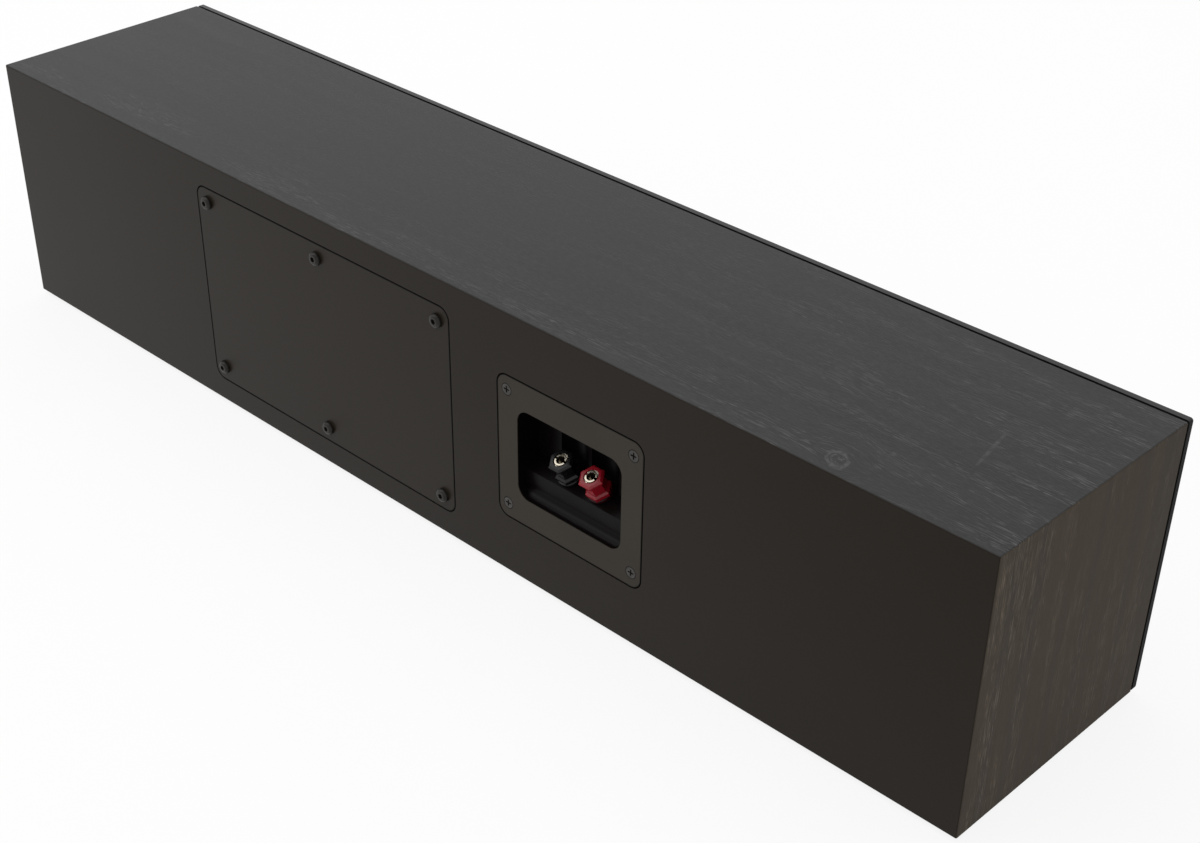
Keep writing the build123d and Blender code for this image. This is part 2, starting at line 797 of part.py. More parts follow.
# Tweeter
dome_foot = -waveguide_depth
plate_top = waveguide_depth + dome_thickness
tweeter_magnet_top = plate_top + tweeter_plate_thickness
tweeter_yoke_top = tweeter_magnet_top + tweeter_magnet_thickness
waveguide_screw_places = [
    (side * waveguide_screw_span / 2, level * waveguide_screw_span / 2)
    for side in (-1, 1)
    for level in (-1, 1)
]
with BuildPart() as tweeter_waveguide:
    with BuildSketch(front_plane(front_plate_thickness)):
        RectangleRounded(waveguide_size, waveguide_size, waveguide_corner)
    extrude(amount=-front_plate_thickness)
    with BuildSketch(front_plane(0)):
        Circle(waveguide_boss)
    extrude(amount=-plate_top)
    with BuildSketch(driver_section(0)):
        with BuildLine():
            mouth = (waveguide_mouth, front_plate_thickness)
            throat = (waveguide_throat, dome_foot)
            TangentArc(mouth, throat, tangent=(-1, 0))
            Polyline(
                throat,
                (dome_flange + fit, dome_foot),
                (dome_flange + fit, -plate_top),
                (0, -plate_top),
                (0, front_plate_thickness),
                mouth,
            )
        make_face()
    revolve(axis=driver_axis(0), mode=Mode.SUBTRACT)
    with Locations(front_plane(front_plate_thickness)):
        with Locations(*waveguide_screw_places):
            CounterSinkHole(driver_hole_radius, driver_head_radius, front_plate_thickness, 90)
save(tweeter_waveguide, "tweeter_waveguide")

with BuildPart() as tweeter_diaphragm:
    with BuildSketch(driver_section(0)):
        with BuildLine():
            roll_outer = dome_radius + dome_roll_width
            for level in (dome_foot, -plate_top):
                apex = (0, level + dome_rise)
                TangentArc(apex, (dome_radius, level), tangent=(1, 0))
                ThreePointArc(
                    (dome_radius, level),
                    (dome_radius + dome_roll_width / 2, level + dome_roll_rise),
                    (roll_outer, level),
                )
                Line((roll_outer, level), (dome_flange, level))
            Line((0, dome_foot + dome_rise), (0, -plate_top + dome_rise))
            Line((dome_flange, dome_foot), (dome_flange, -plate_top))
        make_face()
    revolve(axis=driver_axis(0))
save(tweeter_diaphragm, "tweeter_diaphragm")

with BuildPart() as tweeter_voice_coil:
    with BuildSketch(front_plane(-plate_top)):
        Circle(dome_radius)
        Circle(dome_radius - tweeter_coil_wall, mode=Mode.SUBTRACT)
    extrude(amount=-tweeter_coil_length)
save(tweeter_voice_coil, "tweeter_voice_coil")

with BuildPart() as tweeter_top_plate:
    with BuildSketch(front_plane(-plate_top)):
        Circle(tweeter_plate_radius)
        Circle(dome_radius + tweeter_gap, mode=Mode.SUBTRACT)
    extrude(amount=-tweeter_plate_thickness)
save(tweeter_top_plate, "tweeter_top_plate")

with BuildPart() as tweeter_magnet:
    with BuildSketch(front_plane(-tweeter_magnet_top)):
        Circle(tweeter_magnet_radius)
        Circle(tweeter_magnet_hole, mode=Mode.SUBTRACT)
    extrude(amount=-tweeter_magnet_thickness)
save(tweeter_magnet, "tweeter_magnet")

with BuildPart() as tweeter_yoke:
    with BuildSketch(front_plane(-tweeter_yoke_top)):
        Circle(tweeter_plate_radius)
    extrude(amount=-tweeter_yoke_thickness)
    chamfer(tweeter_yoke.faces().sort_by(Axis.Y)[-1].edges(), plate_chamfer)
    with BuildSketch(front_plane(-tweeter_yoke_top)):
        Circle(dome_radius - tweeter_coil_wall - tweeter_gap)
    extrude(amount=tweeter_yoke_top - plate_top - tweeter_gap)
save(tweeter_yoke, "tweeter_yoke")

tweeter_screws = countersunk_screws(
    front_plane(front_plate_thickness),
    waveguide_screw_places,
    driver_screw_radius,
    driver_screw_head,
    front_plate_thickness + driver_screw_grip,
)
save(tweeter_screws, "tweeter_screws")

# Crossover: depths in from the back face
board_back = cover_thickness + spacer_height
board_front = board_back + board_thickness
spacer_places = [
    (cover_offset + side * (board_width / 2 - spacer_inset), level * (board_height / 2 - spacer_inset))
    for side in (-1, 1)
    for level in (-1, 1)
]
with BuildPart() as crossover_board:
    with BuildSketch(back_face.offset(-board_back)):
        with Locations((cover_offset, 0)):
            Rectangle(board_width, board_height)
        with Locations(*spacer_places):
            Circle(spacer_pin + fit, mode=Mode.SUBTRACT)
    extrude(amount=-board_thickness)
save(crossover_board, "crossover_board")

with BuildPart() as crossover_spacers:
    with BuildSketch(back_face.offset(-cover_thickness)):
        with Locations(*spacer_places):
            Circle(spacer_radius)
    extrude(amount=-spacer_height)
    with BuildSketch(back_face.offset(-board_back)):
        with Locations(*spacer_places):
            Circle(spacer_pin)
    extrude(amount=-board_thickness - spacer_pin_rise)
save(crossover_spacers, "crossover_spacers")

inductor_row = [(cover_offset + side * inductor_pitch, 0) for side in (-1, 1)]
with BuildPart() as crossover_inductors:
    with BuildSketch(back_face.offset(-board_front)):
        with Locations(*inductor_row):
            Circle(inductor_radius)
            Circle(inductor_hole, mode=Mode.SUBTRACT)
    extrude(amount=-inductor_height)
save(crossover_inductors, "crossover_inductors")

with BuildPart() as crossover_capacitors:
    capacitor_depth = board_front + capacitor_radius + part_gap
    with BuildSketch(Plane.XY.offset(mid_z - capacitor_length / 2)):
        for side in (-1, 0, 1):
            with Locations((-cover_offset + side * capacitor_pitch, back_y - capacitor_depth)):
                Circle(capacitor_radius)
    extrude(amount=capacitor_length)
save(crossover_capacitors, "crossover_capacitors")

with BuildPart() as crossover_resistors:
    resistor_level = capacitor_length / 2 + resistor_depth
    with BuildSketch(back_face.offset(-board_front)):
        for level in (-1, 1):
            with Locations((cover_offset, level * resistor_level)):
                Rectangle(resistor_width, resistor_depth)
    extrude(amount=-resistor_height)
save(crossover_resistors, "crossover_resistors")

# Wadding in both end chambers, against the rear panel
with BuildPart() as wadding:
    chamber_start = brace_x + brace_thickness / 2 + wadding_gap
    chamber_end = inner_width / 2 - wadding_gap
    with BuildSketch(back_face.offset(-wall - wadding_gap)):
        for side in (-1, 1):
            with Locations((side * (chamber_start + chamber_end) / 2, 0)):
                RectangleRounded(chamber_end - chamber_start, inner_height - 2 * wadding_gap, wadding_round)
    extrude(amount=-wadding_depth)
save(wadding, "wadding")

# Leads: each leaves its terminal, runs across the cabinet at one depth and lands on the crossover board
board_left_x = -cover_offset - board_width / 2
board_right_x = -cover_offset + board_width / 2
board_y = back_y - board_front


def leads(routes):
    """Round leads, each from a start, back to a run at one depth, across, and back to the board."""
    with BuildPart() as bundle:
        for start, run_y, land_x, land_level in routes:
            run_start = Vector(start.X, run_y, start.Z)
            run_end = Vector(land_x, run_y, mid_z + land_level)
            land = Vector(land_x, board_y, mid_z + land_level)
            with BuildLine() as route:
                FilletPolyline(start, run_start, run_end, land, radius=lead_bend)
            with BuildSketch(Plane(origin=start, x_dir=(1, 0, 0), z_dir=route.line % 0)):
                Circle(lead_radius)
            sweep(path=route.line)
    return bundle


tag_end = post_set + tag_reach - lead_radius - part_gap
tag_points = [seat_plane.from_local_coords((place[0], tag_end, nut_top)) for place in post_places.values()]
tag_starts = [point - Vector(0, lead_radius + part_gap, 0) for point in tag_points]
near_start, far_start = sorted(tag_starts, key=lambda point: -point.X)
input_level = -inductor_radius - 2 * lead_radius - part_gap
input_land_x = board_left_x + lead_inset
input_leads = leads(
    [
        (near_start, near_start.Y - lead_reach, input_land_x, input_level),
        (far_start, far_start.Y - lead_reach - lead_step, input_land_x + lead_step, input_level),
    ]
)
save(input_leads, "input_leads")

lug_y = baffle_y + basket_depth
lug_z = mid_z + can_radius + lug_reach / 2
boss_y = baffle_y + plate_top
boss_z = mid_z + (waveguide_boss + tweeter_magnet_radius) / 2
inner_run_y = baffle_y + yoke_top + yoke_thickness + 2 * lead_reach
outer_run_y = inner_run_y - lead_reach
woofer_starts = [Vector(place, lug_y, lug_z) for place in woofer_places]
driver_leads = leads(
    [
        (woofer_starts[0], outer_run_y, board_left_x + lead_inset, 3 * lead_step),
        (woofer_starts[1], inner_run_y, board_left_x + lead_inset, 2 * lead_step),
        (woofer_starts[2], inner_run_y, board_right_x - 3 * lead_step, 4 * lead_step),
        (woofer_starts[3], outer_run_y, board_right_x - lead_inset, 3 * lead_step),
        (Vector(0, boss_y, boss_z), inner_run_y, board_left_x + 4 * lead_step, 4 * lead_step),
    ]
)
save(driver_leads, "driver_leads")
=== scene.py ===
"""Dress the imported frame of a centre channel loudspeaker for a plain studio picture.

The CAD nodes keep their shapes and take procedural finishes. The flexing rings of the woofers are
modelled here, because they bend between the cabinet and the moving cones.
"""

from __future__ import annotations

import json
import logging
import math
from dataclasses import dataclass, field
from enum import Enum
from typing import Any, Mapping, Sequence, Union

import bpy
import numpy as np
from mathutils import Matrix, Vector

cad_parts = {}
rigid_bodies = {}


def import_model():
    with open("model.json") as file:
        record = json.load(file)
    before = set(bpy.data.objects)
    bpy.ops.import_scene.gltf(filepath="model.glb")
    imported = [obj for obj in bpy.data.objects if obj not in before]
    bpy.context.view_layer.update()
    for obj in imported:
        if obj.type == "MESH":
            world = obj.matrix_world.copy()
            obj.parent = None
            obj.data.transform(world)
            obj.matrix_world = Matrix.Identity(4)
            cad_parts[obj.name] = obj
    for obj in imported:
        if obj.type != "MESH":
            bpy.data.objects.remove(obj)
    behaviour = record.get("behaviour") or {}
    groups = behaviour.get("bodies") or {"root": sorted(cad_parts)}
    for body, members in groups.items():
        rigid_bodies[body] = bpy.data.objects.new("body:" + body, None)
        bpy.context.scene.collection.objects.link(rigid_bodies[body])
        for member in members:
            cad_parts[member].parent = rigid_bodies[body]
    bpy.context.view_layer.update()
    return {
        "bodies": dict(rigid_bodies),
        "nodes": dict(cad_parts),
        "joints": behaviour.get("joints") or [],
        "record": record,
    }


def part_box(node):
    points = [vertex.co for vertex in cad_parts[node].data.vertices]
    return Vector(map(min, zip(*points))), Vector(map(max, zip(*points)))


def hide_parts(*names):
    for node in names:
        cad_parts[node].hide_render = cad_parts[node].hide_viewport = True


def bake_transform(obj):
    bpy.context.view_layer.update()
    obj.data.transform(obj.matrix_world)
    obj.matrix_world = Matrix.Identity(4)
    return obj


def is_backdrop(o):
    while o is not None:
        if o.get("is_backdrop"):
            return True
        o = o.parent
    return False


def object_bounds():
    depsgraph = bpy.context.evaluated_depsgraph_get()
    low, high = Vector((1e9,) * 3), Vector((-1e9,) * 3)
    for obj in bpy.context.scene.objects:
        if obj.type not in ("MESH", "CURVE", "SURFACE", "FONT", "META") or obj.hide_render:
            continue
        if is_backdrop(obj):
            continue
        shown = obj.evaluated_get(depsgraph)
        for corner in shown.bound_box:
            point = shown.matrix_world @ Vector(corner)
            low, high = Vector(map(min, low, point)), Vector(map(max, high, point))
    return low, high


LOG = logging.getLogger("centre_channel")
NUMBER_SOCKET = "NodeSocketFloat"
WOOFERS = 4
CUP_SCREW_RADIUS = 0.0031
PANEL_CORNER = 0.006
# Width of the painted shadow and dust line along a seam.
SEAM_SHADE_WIDTH = 0.0008
SHARP_ANGLE = math.radians(35.0)
BLACK = (0.0, 0.0, 0.0)
WHITE = (1.0, 1.0, 1.0)

Colour = tuple[float, float, float]
Feed = Union[float, Colour, Vector, bpy.types.NodeSocket]
Point = tuple[float, float]
Surface = tuple[bpy.types.NodeSocket, bpy.types.NodeSocket, bpy.types.NodeSocket]


class Op(Enum):
    """Operations of a Math node that the finishes use."""

    ADD = "ADD"
    SUBTRACT = "SUBTRACT"
    MULTIPLY = "MULTIPLY"
    DIVIDE = "DIVIDE"
    MAXIMUM = "MAXIMUM"
    MINIMUM = "MINIMUM"
    ABSOLUTE = "ABSOLUTE"
    EXPONENT = "EXPONENT"
    ROOT = "SQRT"


class Polarity(Enum):
    """The two binding posts, by the words that start their nodes' names."""

    NEGATIVE = "negative"
    POSITIVE = "positive"


def opaque(colour: Colour) -> tuple[float, float, float, float]:
    """Give a colour the alpha that a colour socket needs."""
    return (*colour, 1.0)


class Graph:
    """Adds nodes to one shader tree and joins them."""

    def __init__(self, tree: bpy.types.NodeTree) -> None:
        """Take over a tree and empty it.

        Args:
            tree: The node tree of a material, a world or a group.
        """
        self.tree = tree
        self.tree.nodes.clear()

    def add(self, kind: str, inputs: Mapping[Any, Feed] | None = None, **options: Any) -> bpy.types.Node:
        """Add a node.

        Args:
            kind: Blender's name of the node type.
            inputs: What goes into each input, by its name or place.
            options: The node's own settings.

        Returns:
            The new node.
        """
        node = self.tree.nodes.new(kind)
        for name, value in options.items():
            setattr(node, name, value)
        for name, value in (inputs or {}).items():
            self.feed(node.inputs[name], value)
        return node

    def feed(self, socket: bpy.types.NodeSocket, value: Feed) -> None:
        """Link a socket to an input, or set the input's own value.

        Args:
            socket: The input.
            value: Another node's output, a number, a colour or a vector.
        """
        if isinstance(value, bpy.types.NodeSocket):
            self.tree.links.new(value, socket)
        elif socket.type == "RGBA":
            socket.default_value = opaque(value)
        else:
            socket.default_value = value

    def math(self, operation: Op, first: Feed, second: Feed = 0.0) -> bpy.types.NodeSocket:
        """Work out a value from one or two others.

        Args:
            operation: What is done.
            first: First value.
            second: Second value, where the operation has one.

        Returns:
            The result.
        """
        return self.add("ShaderNodeMath", {0: first, 1: second}, operation=operation.value).outputs[0]

    def plus(self, first: Feed, second: Feed) -> bpy.types.NodeSocket:
        """Add two values."""
        return self.math(Op.ADD, first, second)

    def minus(self, first: Feed, second: Feed) -> bpy.types.NodeSocket:
        """Take the second value from the first."""
        return self.math(Op.SUBTRACT, first, second)

    def times(self, first: Feed, second: Feed) -> bpy.types.NodeSocket:
        """Multiply two values."""
        return self.math(Op.MULTIPLY, first, second)

    def over(self, first: Feed, second: Feed) -> bpy.types.NodeSocket:
        """Divide the first value by the second."""
        return self.math(Op.DIVIDE, first, second)

    def larger(self, first: Feed, second: Feed) -> bpy.types.NodeSocket:
        """Take the larger of two values."""
        return self.math(Op.MAXIMUM, first, second)

    def remap(
        self, value: Feed, low: Feed, high: Feed, to_low: float = 0.0, to_high: float = 1.0
    ) -> bpy.types.NodeSocket:
        """Carry a value from one range into another, eased at both ends.

        Args:
            value: The value.
            low: Start of its range.
            high: End of its range.
            to_low: Start of the new range.
            to_high: End of the new range.

        Returns:
            The new value, kept inside the new range.
        """
        inputs = {"Value": value, "From Min": low, "From Max": high, "To Min": to_low, "To Max": to_high}
        node = self.add("ShaderNodeMapRange", inputs, interpolation_type="SMOOTHSTEP")
        return node.outputs[0]

    def noise(
        self, vector: Feed, scale: Feed = 1.0, detail: float = 2.0, roughness: float = 0.5
    ) -> bpy.types.NodeSocket:
        """Sample a noise from 0 to 1.

        Args:
            vector: Where it is sampled.
            scale: Features in each metre.
            detail: Octaves.
            roughness: Weight of the finer octaves.

        Returns:
            The noise.
        """
        inputs = {"Vector": vector, "Scale": scale, "Detail": detail, "Roughness": roughness}
        return self.add("ShaderNodeTexNoise", inputs).outputs[0]

    def reach(self, first: Feed, second: Feed) -> bpy.types.NodeSocket:
        """Work out the length of the two numbers at a right angle."""
        squares = [self.times(number, number) for number in (first, second)]
        return self.math(Op.ROOT, self.plus(*squares))

    def folded(self, value: Feed, middle: Feed, spread: Feed) -> bpy.types.NodeSocket:
        """Measure from either of two places that lie a spread to each side of a middle.

        Args:
            value: The value.
            middle: Middle of the two places.
            spread: How far each place is from the middle.

        Returns:
            The signed distance, negative towards the middle.
        """
        offset = self.math(Op.ABSOLUTE, self.minus(value, middle))
        return self.minus(offset, spread)

    def joined(self, along: Feed, across: Feed, depth: Feed = 0.0) -> bpy.types.NodeSocket:
        """Join three numbers into a vector."""
        return self.add("ShaderNodeCombineXYZ", {0: along, 1: across, 2: depth}).outputs[0]

    def split(self, vector: Feed) -> Sequence[bpy.types.NodeSocket]:
        """Split a vector into its three numbers."""
        return self.add("ShaderNodeSeparateXYZ", {0: vector}).outputs

    def place(self) -> bpy.types.NodeSocket:
        """Give the place on the object, in metres."""
        return self.add("ShaderNodeTexCoord").outputs["Object"]

    def facing(self) -> Sequence[bpy.types.NodeSocket]:
        """Give the direction that the surface faces, as three numbers."""
        return self.split(self.add("ShaderNodeNewGeometry").outputs["Normal"])

    def mix(self, factor: Feed, first: Feed, second: Feed) -> bpy.types.NodeSocket:
        """Mix two colours.

        Args:
            factor: Share of the second colour.
            first: First colour.
            second: Second colour.

        Returns:
            The mixed colour.
        """
        inputs = {0: factor, 6: first, 7: second}
        return self.add("ShaderNodeMix", inputs, data_type="RGBA", blend_type="MIX").outputs[2]

    def lerp(self, factor: Feed, first: Feed, second: Feed) -> bpy.types.NodeSocket:
        """Mix two numbers.

        Args:
            factor: Share of the second number.
            first: First number.
            second: Second number.

        Returns:
            The mixed number.
        """
        return self.add("ShaderNodeMix", {0: factor, 2: first, 3: second}, data_type="FLOAT").outputs[0]

    def bump(self, height: Feed, depth: float) -> bpy.types.NodeSocket:
        """Turn a height into a normal.

        Args:
            height: Height from 0 to 1.
            depth: Real height of 1, in metres.

        Returns:
            The normal.
        """
        inputs = {"Height": height, "Distance": depth, "Strength": 1.0}
        return self.add("ShaderNodeBump", inputs).outputs[0]

    def effect(
        self, group: bpy.types.NodeTree, inputs: Mapping[str, Feed] | None = None
    ) -> Mapping[str, bpy.types.NodeSocket]:
        """Place a shared effect.

        Args:
            group: The shader node group.
            inputs: What goes into its inputs, by name.

        Returns:
            The group's outputs by name.
        """
        return self.add("ShaderNodeGroup", inputs, node_tree=group).outputs


class EffectGroups:
    """The shader node groups that the finishes share, each made once."""

    GRAIN_BENDS: Point = (6.0, 16.0)
    GRAIN_WANDER = 0.003
    DASH_RELIEF, PORE_RELIEF = 0.6, 0.4
    KNOT_TURN = math.radians(35.4)
    KNOT_STRETCH = 1.46
    KNOT_WAVER = 0.16
    KNOT_RIM = 0.82
    KNOT_HUSH = 0.16
    KNOT_PUSH = 0.75
    SCUFF_SLANT = 0.35
    SCUFF_ROWS, SCUFF_LAYERS = 900.0, 300.0

    def __init__(self) -> None:
        """Make every group."""
        self.grain = self._grain()
        self.knot = self._knot()
        self.mottle = self._mottle()
        self.turning = self._turning()
        self.ends = self._ends()
        self.seam = self._seam_shade()

    @staticmethod
    def _start(
        name: str, inputs: Mapping[str, float], outputs: Sequence[str]
    ) -> tuple[Graph, Mapping[str, bpy.types.NodeSocket], bpy.types.Node]:
        """Start a group with named number sockets.

        Args:
            name: Name of the group.
            inputs: Inputs and their usual values.
            outputs: Outputs.

        Returns:
            The group's graph, its inputs by name, and its output node.
        """
        tree = bpy.data.node_groups.new(name, "ShaderNodeTree")
        for label, usual in inputs.items():
            socket = tree.interface.new_socket(label, in_out="INPUT", socket_type=NUMBER_SOCKET)
            socket.default_value = usual
        for label in outputs:
            tree.interface.new_socket(label, in_out="OUTPUT", socket_type=NUMBER_SOCKET)
        graph = Graph(tree)
        start = graph.add("NodeGroupInput")
        end = graph.add("NodeGroupOutput")
        return graph, {socket.name: socket for socket in start.outputs if socket.name}, end

    @staticmethod
    def _close(graph: Graph, end: bpy.types.Node, values: Mapping[str, Feed]) -> bpy.types.NodeTree:
        """Join a group's results to its outputs.

        Args:
            graph: The group's graph.
            end: Its output node.
            values: The results by the names of the outputs.

        Returns:
            The finished group.
        """
        for label, value in values.items():
            graph.feed(end.inputs[label], value)
        return graph.tree

    def _grain(self) -> bpy.types.NodeTree:
        """Make the grain of printed and embossed wood vinyl.

        Returns:
            A group that gives pale dashes gathered in bands, fine pores, a slow change of tone and a height.
        """
        usual = {"Along": 0.0, "Across": 0.0, "Dash length": 0.012, "Dash width": 0.0011, "Crowd": 0.0}
        graph, given, end = self._start("wood_grain", usual, ("Dashes", "Pores", "Tone", "Height"))
        along, across = given["Along"], given["Across"]
        ways = zip((along, across), self.GRAIN_BENDS)
        bends = graph.joined(*(graph.times(way, count) for way, count in ways))
        wander = graph.remap(graph.noise(bends, detail=1.0), 0.2, 0.8, -self.GRAIN_WANDER, self.GRAIN_WANDER)
        run = graph.over(along, given["Dash length"])
        row = graph.over(graph.plus(across, wander), given["Dash width"])

        def layer(stretch: float, pitch: float, seed: float, detail: float = 2.0) -> bpy.types.NodeSocket:
            """Sample noise whose cells are some dashes long and wide."""
            spot = graph.joined(graph.over(run, stretch), graph.over(row, pitch), seed)
            return graph.noise(spot, detail=detail, roughness=0.45)

        hair = graph.remap(layer(stretch=1.4, pitch=0.6, seed=0.0), 0.50, 0.72, 0.0, 0.7)
        dash = graph.remap(layer(stretch=0.7, pitch=0.8, seed=7.0), 0.59, 0.72)
        band = graph.remap(layer(stretch=7.0, pitch=10.0, seed=3.0), 0.44, 0.62, 0.15, 1.0)
        crowded = graph.larger(band, given["Crowd"])
        dashes = graph.times(graph.larger(hair, dash), crowded)
        pores = graph.remap(layer(stretch=0.45, pitch=0.5, seed=5.0, detail=1.0), 0.48, 0.72)
        tone = layer(stretch=24.0, pitch=12.0, seed=9.0, detail=3.0)
        raised = graph.times(dashes, self.DASH_RELIEF)
        height = graph.plus(raised, graph.times(pores, self.PORE_RELIEF))
        return self._close(graph, end, {"Dashes": dashes, "Pores": pores, "Tone": tone, "Height": height})

    def _knot(self) -> bpy.types.NodeTree:
        """Make a small knot that the grain gathers at and flows around.

        Returns:
            A group that gives the knot's rings, the crowded grain beside it and how far it pushes the grain.
        """
        usual = {"Along": 0.0, "Across": 0.0, "Centre along": 0.0, "Centre across": 0.0, "Radius": 0.0045}
        graph, given, end = self._start("wood_knot", usual, ("Rings", "Crowd", "Push"))
        along = graph.minus(given["Along"], given["Centre along"])
        across = graph.minus(given["Across"], given["Centre across"])
        short, long = math.sin(self.KNOT_TURN), math.cos(self.KNOT_TURN)
        wide = graph.plus(graph.times(along, long), graph.times(across, short))
        tall = graph.minus(graph.times(along, short), graph.times(across, long))
        tall = graph.over(tall, self.KNOT_STRETCH)
        spot = graph.joined(given["Along"], given["Across"])
        waver = graph.noise(spot, scale=200.0, detail=1.0)
        distance = graph.over(graph.reach(wide, tall), given["Radius"])
        uneven_edge = graph.remap(waver, 0.2, 0.8, -self.KNOT_WAVER, self.KNOT_WAVER)
        reach = graph.plus(distance, uneven_edge)
        off_rim = graph.math(Op.ABSOLUTE, graph.minus(reach, self.KNOT_RIM))
        rim = graph.remap(off_rim, 0.26, 0.06)
        heart = graph.remap(graph.noise(spot, scale=620.0, detail=1.0), 0.46, 0.62)
        heart = graph.times(heart, graph.remap(reach, 0.62, 0.42))
        broken = graph.remap(graph.noise(spot, scale=420.0, detail=1.0), 0.35, 0.60, 0.45, 1.0)
        rings = graph.times(graph.larger(rim, heart), broken)

        nearness = graph.remap(graph.math(Op.ABSOLUTE, across), 0.0055, 0.0020)
        beside = graph.times(graph.remap(along, 0.0, 0.008), graph.remap(along, 0.075, 0.035))
        crowd = graph.times(nearness, beside)
        square = graph.times(reach, reach)
        hush = graph.math(Op.EXPONENT, graph.times(square, -self.KNOT_HUSH))
        push = graph.times(graph.times(across, hush), self.KNOT_PUSH)
        return self._close(graph, end, {"Rings": rings, "Crowd": crowd, "Push": push})

    def _mottle(self) -> bpy.types.NodeTree:
        """Make the texture of moulded, painted and cast surfaces.

        Returns:
            A group that gives a slow mottle, a fine grain, faint scuffs and the grain's height.
        """
        usual = {"Grain size": 0.0008, "Mottle size": 0.05, "Scuff length": 0.02}
        graph, given, end = self._start("surface_mottle", usual, ("Mottle", "Grain", "Scuffs", "Height"))
        place = graph.place()
        slow = graph.over(1.0, given["Mottle size"])
        fast = graph.over(1.0, given["Grain size"])
        mottle = graph.noise(place, scale=slow, detail=4.0)
        grain = graph.noise(place, scale=fast, detail=2.0, roughness=0.6)
        first, second, third = graph.split(place)
        run = graph.over(graph.plus(first, third), given["Scuff length"])
        slant = graph.minus(third, graph.times(first, self.SCUFF_SLANT))
        row = graph.times(slant, self.SCUFF_ROWS)
        depth = graph.times(second, self.SCUFF_LAYERS)
        scuffs = graph.remap(graph.noise(graph.joined(run, row, depth), detail=1.0), 0.68, 0.8)
        return self._close(graph, end, {"Mottle": mottle, "Grain": grain, "Scuffs": scuffs, "Height": grain})

    def _turning(self) -> bpy.types.NodeTree:
        """Make the fine rings of a turned or formed round piece that faces the front.

        Returns:
            A group that gives the share of the radius, the rings and a slow change around the axis.
        """
        graph, given, end = self._start("turned_rings", {"Rings": 60.0}, ("Radius", "Lines", "Sweep"))
        place = graph.add("ShaderNodeTexCoord").outputs["Generated"]
        first, _, third = graph.split(place)
        side = graph.minus(first, 0.5)
        rise = graph.minus(third, 0.5)
        radius = graph.times(graph.reach(side, rise), 2.0)
        turns = graph.times(radius, given["Rings"])
        lines = graph.remap(graph.noise(graph.joined(turns, 0.0), detail=3.0), 0.25, 0.75)
        sweep = graph.noise(graph.joined(side, rise), scale=6.0)
        return self._close(graph, end, {"Radius": radius, "Lines": lines, "Sweep": sweep})

    def _ends(self) -> bpy.types.NodeTree:
        """Pick out the faces that look along the length.

        Returns:
            A group that gives 1 on those faces.
        """
        graph, _, end = self._start("end_faces", {}, ("Ends",))
        sideways = graph.math(Op.ABSOLUTE, graph.facing()[0])
        return self._close(graph, end, {"Ends": graph.remap(sideways, 0.6, 0.8)})

    def _seam_shade(self) -> bpy.types.NodeTree:
        """Make the painted shadow and dust line along the seam round a panel with rounded corners.

        Returns:
            A group that gives 1 at the seam and fades to 0 on both sides of it.
        """
        usual = {"Along": 0.0, "Up": 0.0, "Half along": 0.1, "Half up": 0.05}
        usual |= {"Corner": PANEL_CORNER, "Width": SEAM_SHADE_WIDTH}
        graph, given, end = self._start("seam_shade_line", usual, ("Line",))
        sides = []
        for way in ("Along", "Up"):
            straight = graph.minus(given[f"Half {way.lower()}"], given["Corner"])
            sides.append(graph.folded(given[way], 0.0, straight))
        outside = graph.reach(*(graph.larger(side, 0.0) for side in sides))
        inside = graph.math(Op.MINIMUM, graph.larger(*sides), 0.0)
        edge = graph.minus(graph.plus(outside, inside), given["Corner"])
        line = graph.remap(graph.math(Op.ABSOLUTE, edge), given["Width"], 0.0)
        return self._close(graph, end, {"Line": line})


@dataclass(frozen=True)
class Finish:
    """What every finish has: a name, gloss and the constants of its shader."""

    name: str
    roughness: Point = (0.45, 0.55)
    specular: float = 0.5
    metallic: float = 0.0
    sheen: float = 0.0

    def material(self, groups: EffectGroups) -> bpy.types.Material:
        """Make the material.

        Args:
            groups: The shared shader effects.

        Returns:
            The material, named for the finish.
        """
        made = bpy.data.materials.new(self.name)
        made.use_nodes = True
        graph = Graph(made.node_tree)
        end = graph.add("ShaderNodeOutputMaterial")
        constants = {
            "Metallic": self.metallic,
            "Specular IOR Level": self.specular,
            "Sheen Weight": self.sheen,
        }
        shader = graph.add("ShaderNodeBsdfPrincipled", constants)
        graph.feed(end.inputs["Surface"], shader.outputs[0])
        colour, roughness, normal = self.surface(graph, groups)
        graph.feed(shader.inputs["Base Color"], colour)
        graph.feed(shader.inputs["Roughness"], roughness)
        graph.feed(shader.inputs["Normal"], normal)
        return made

    def surface(self, graph: Graph, groups: EffectGroups) -> Surface:
        """Make what changes over the surface.

        Args:
            graph: The material's graph.
            groups: The shared shader effects.

        Returns:
            The colour, roughness and normal.
        """
        raise NotImplementedError


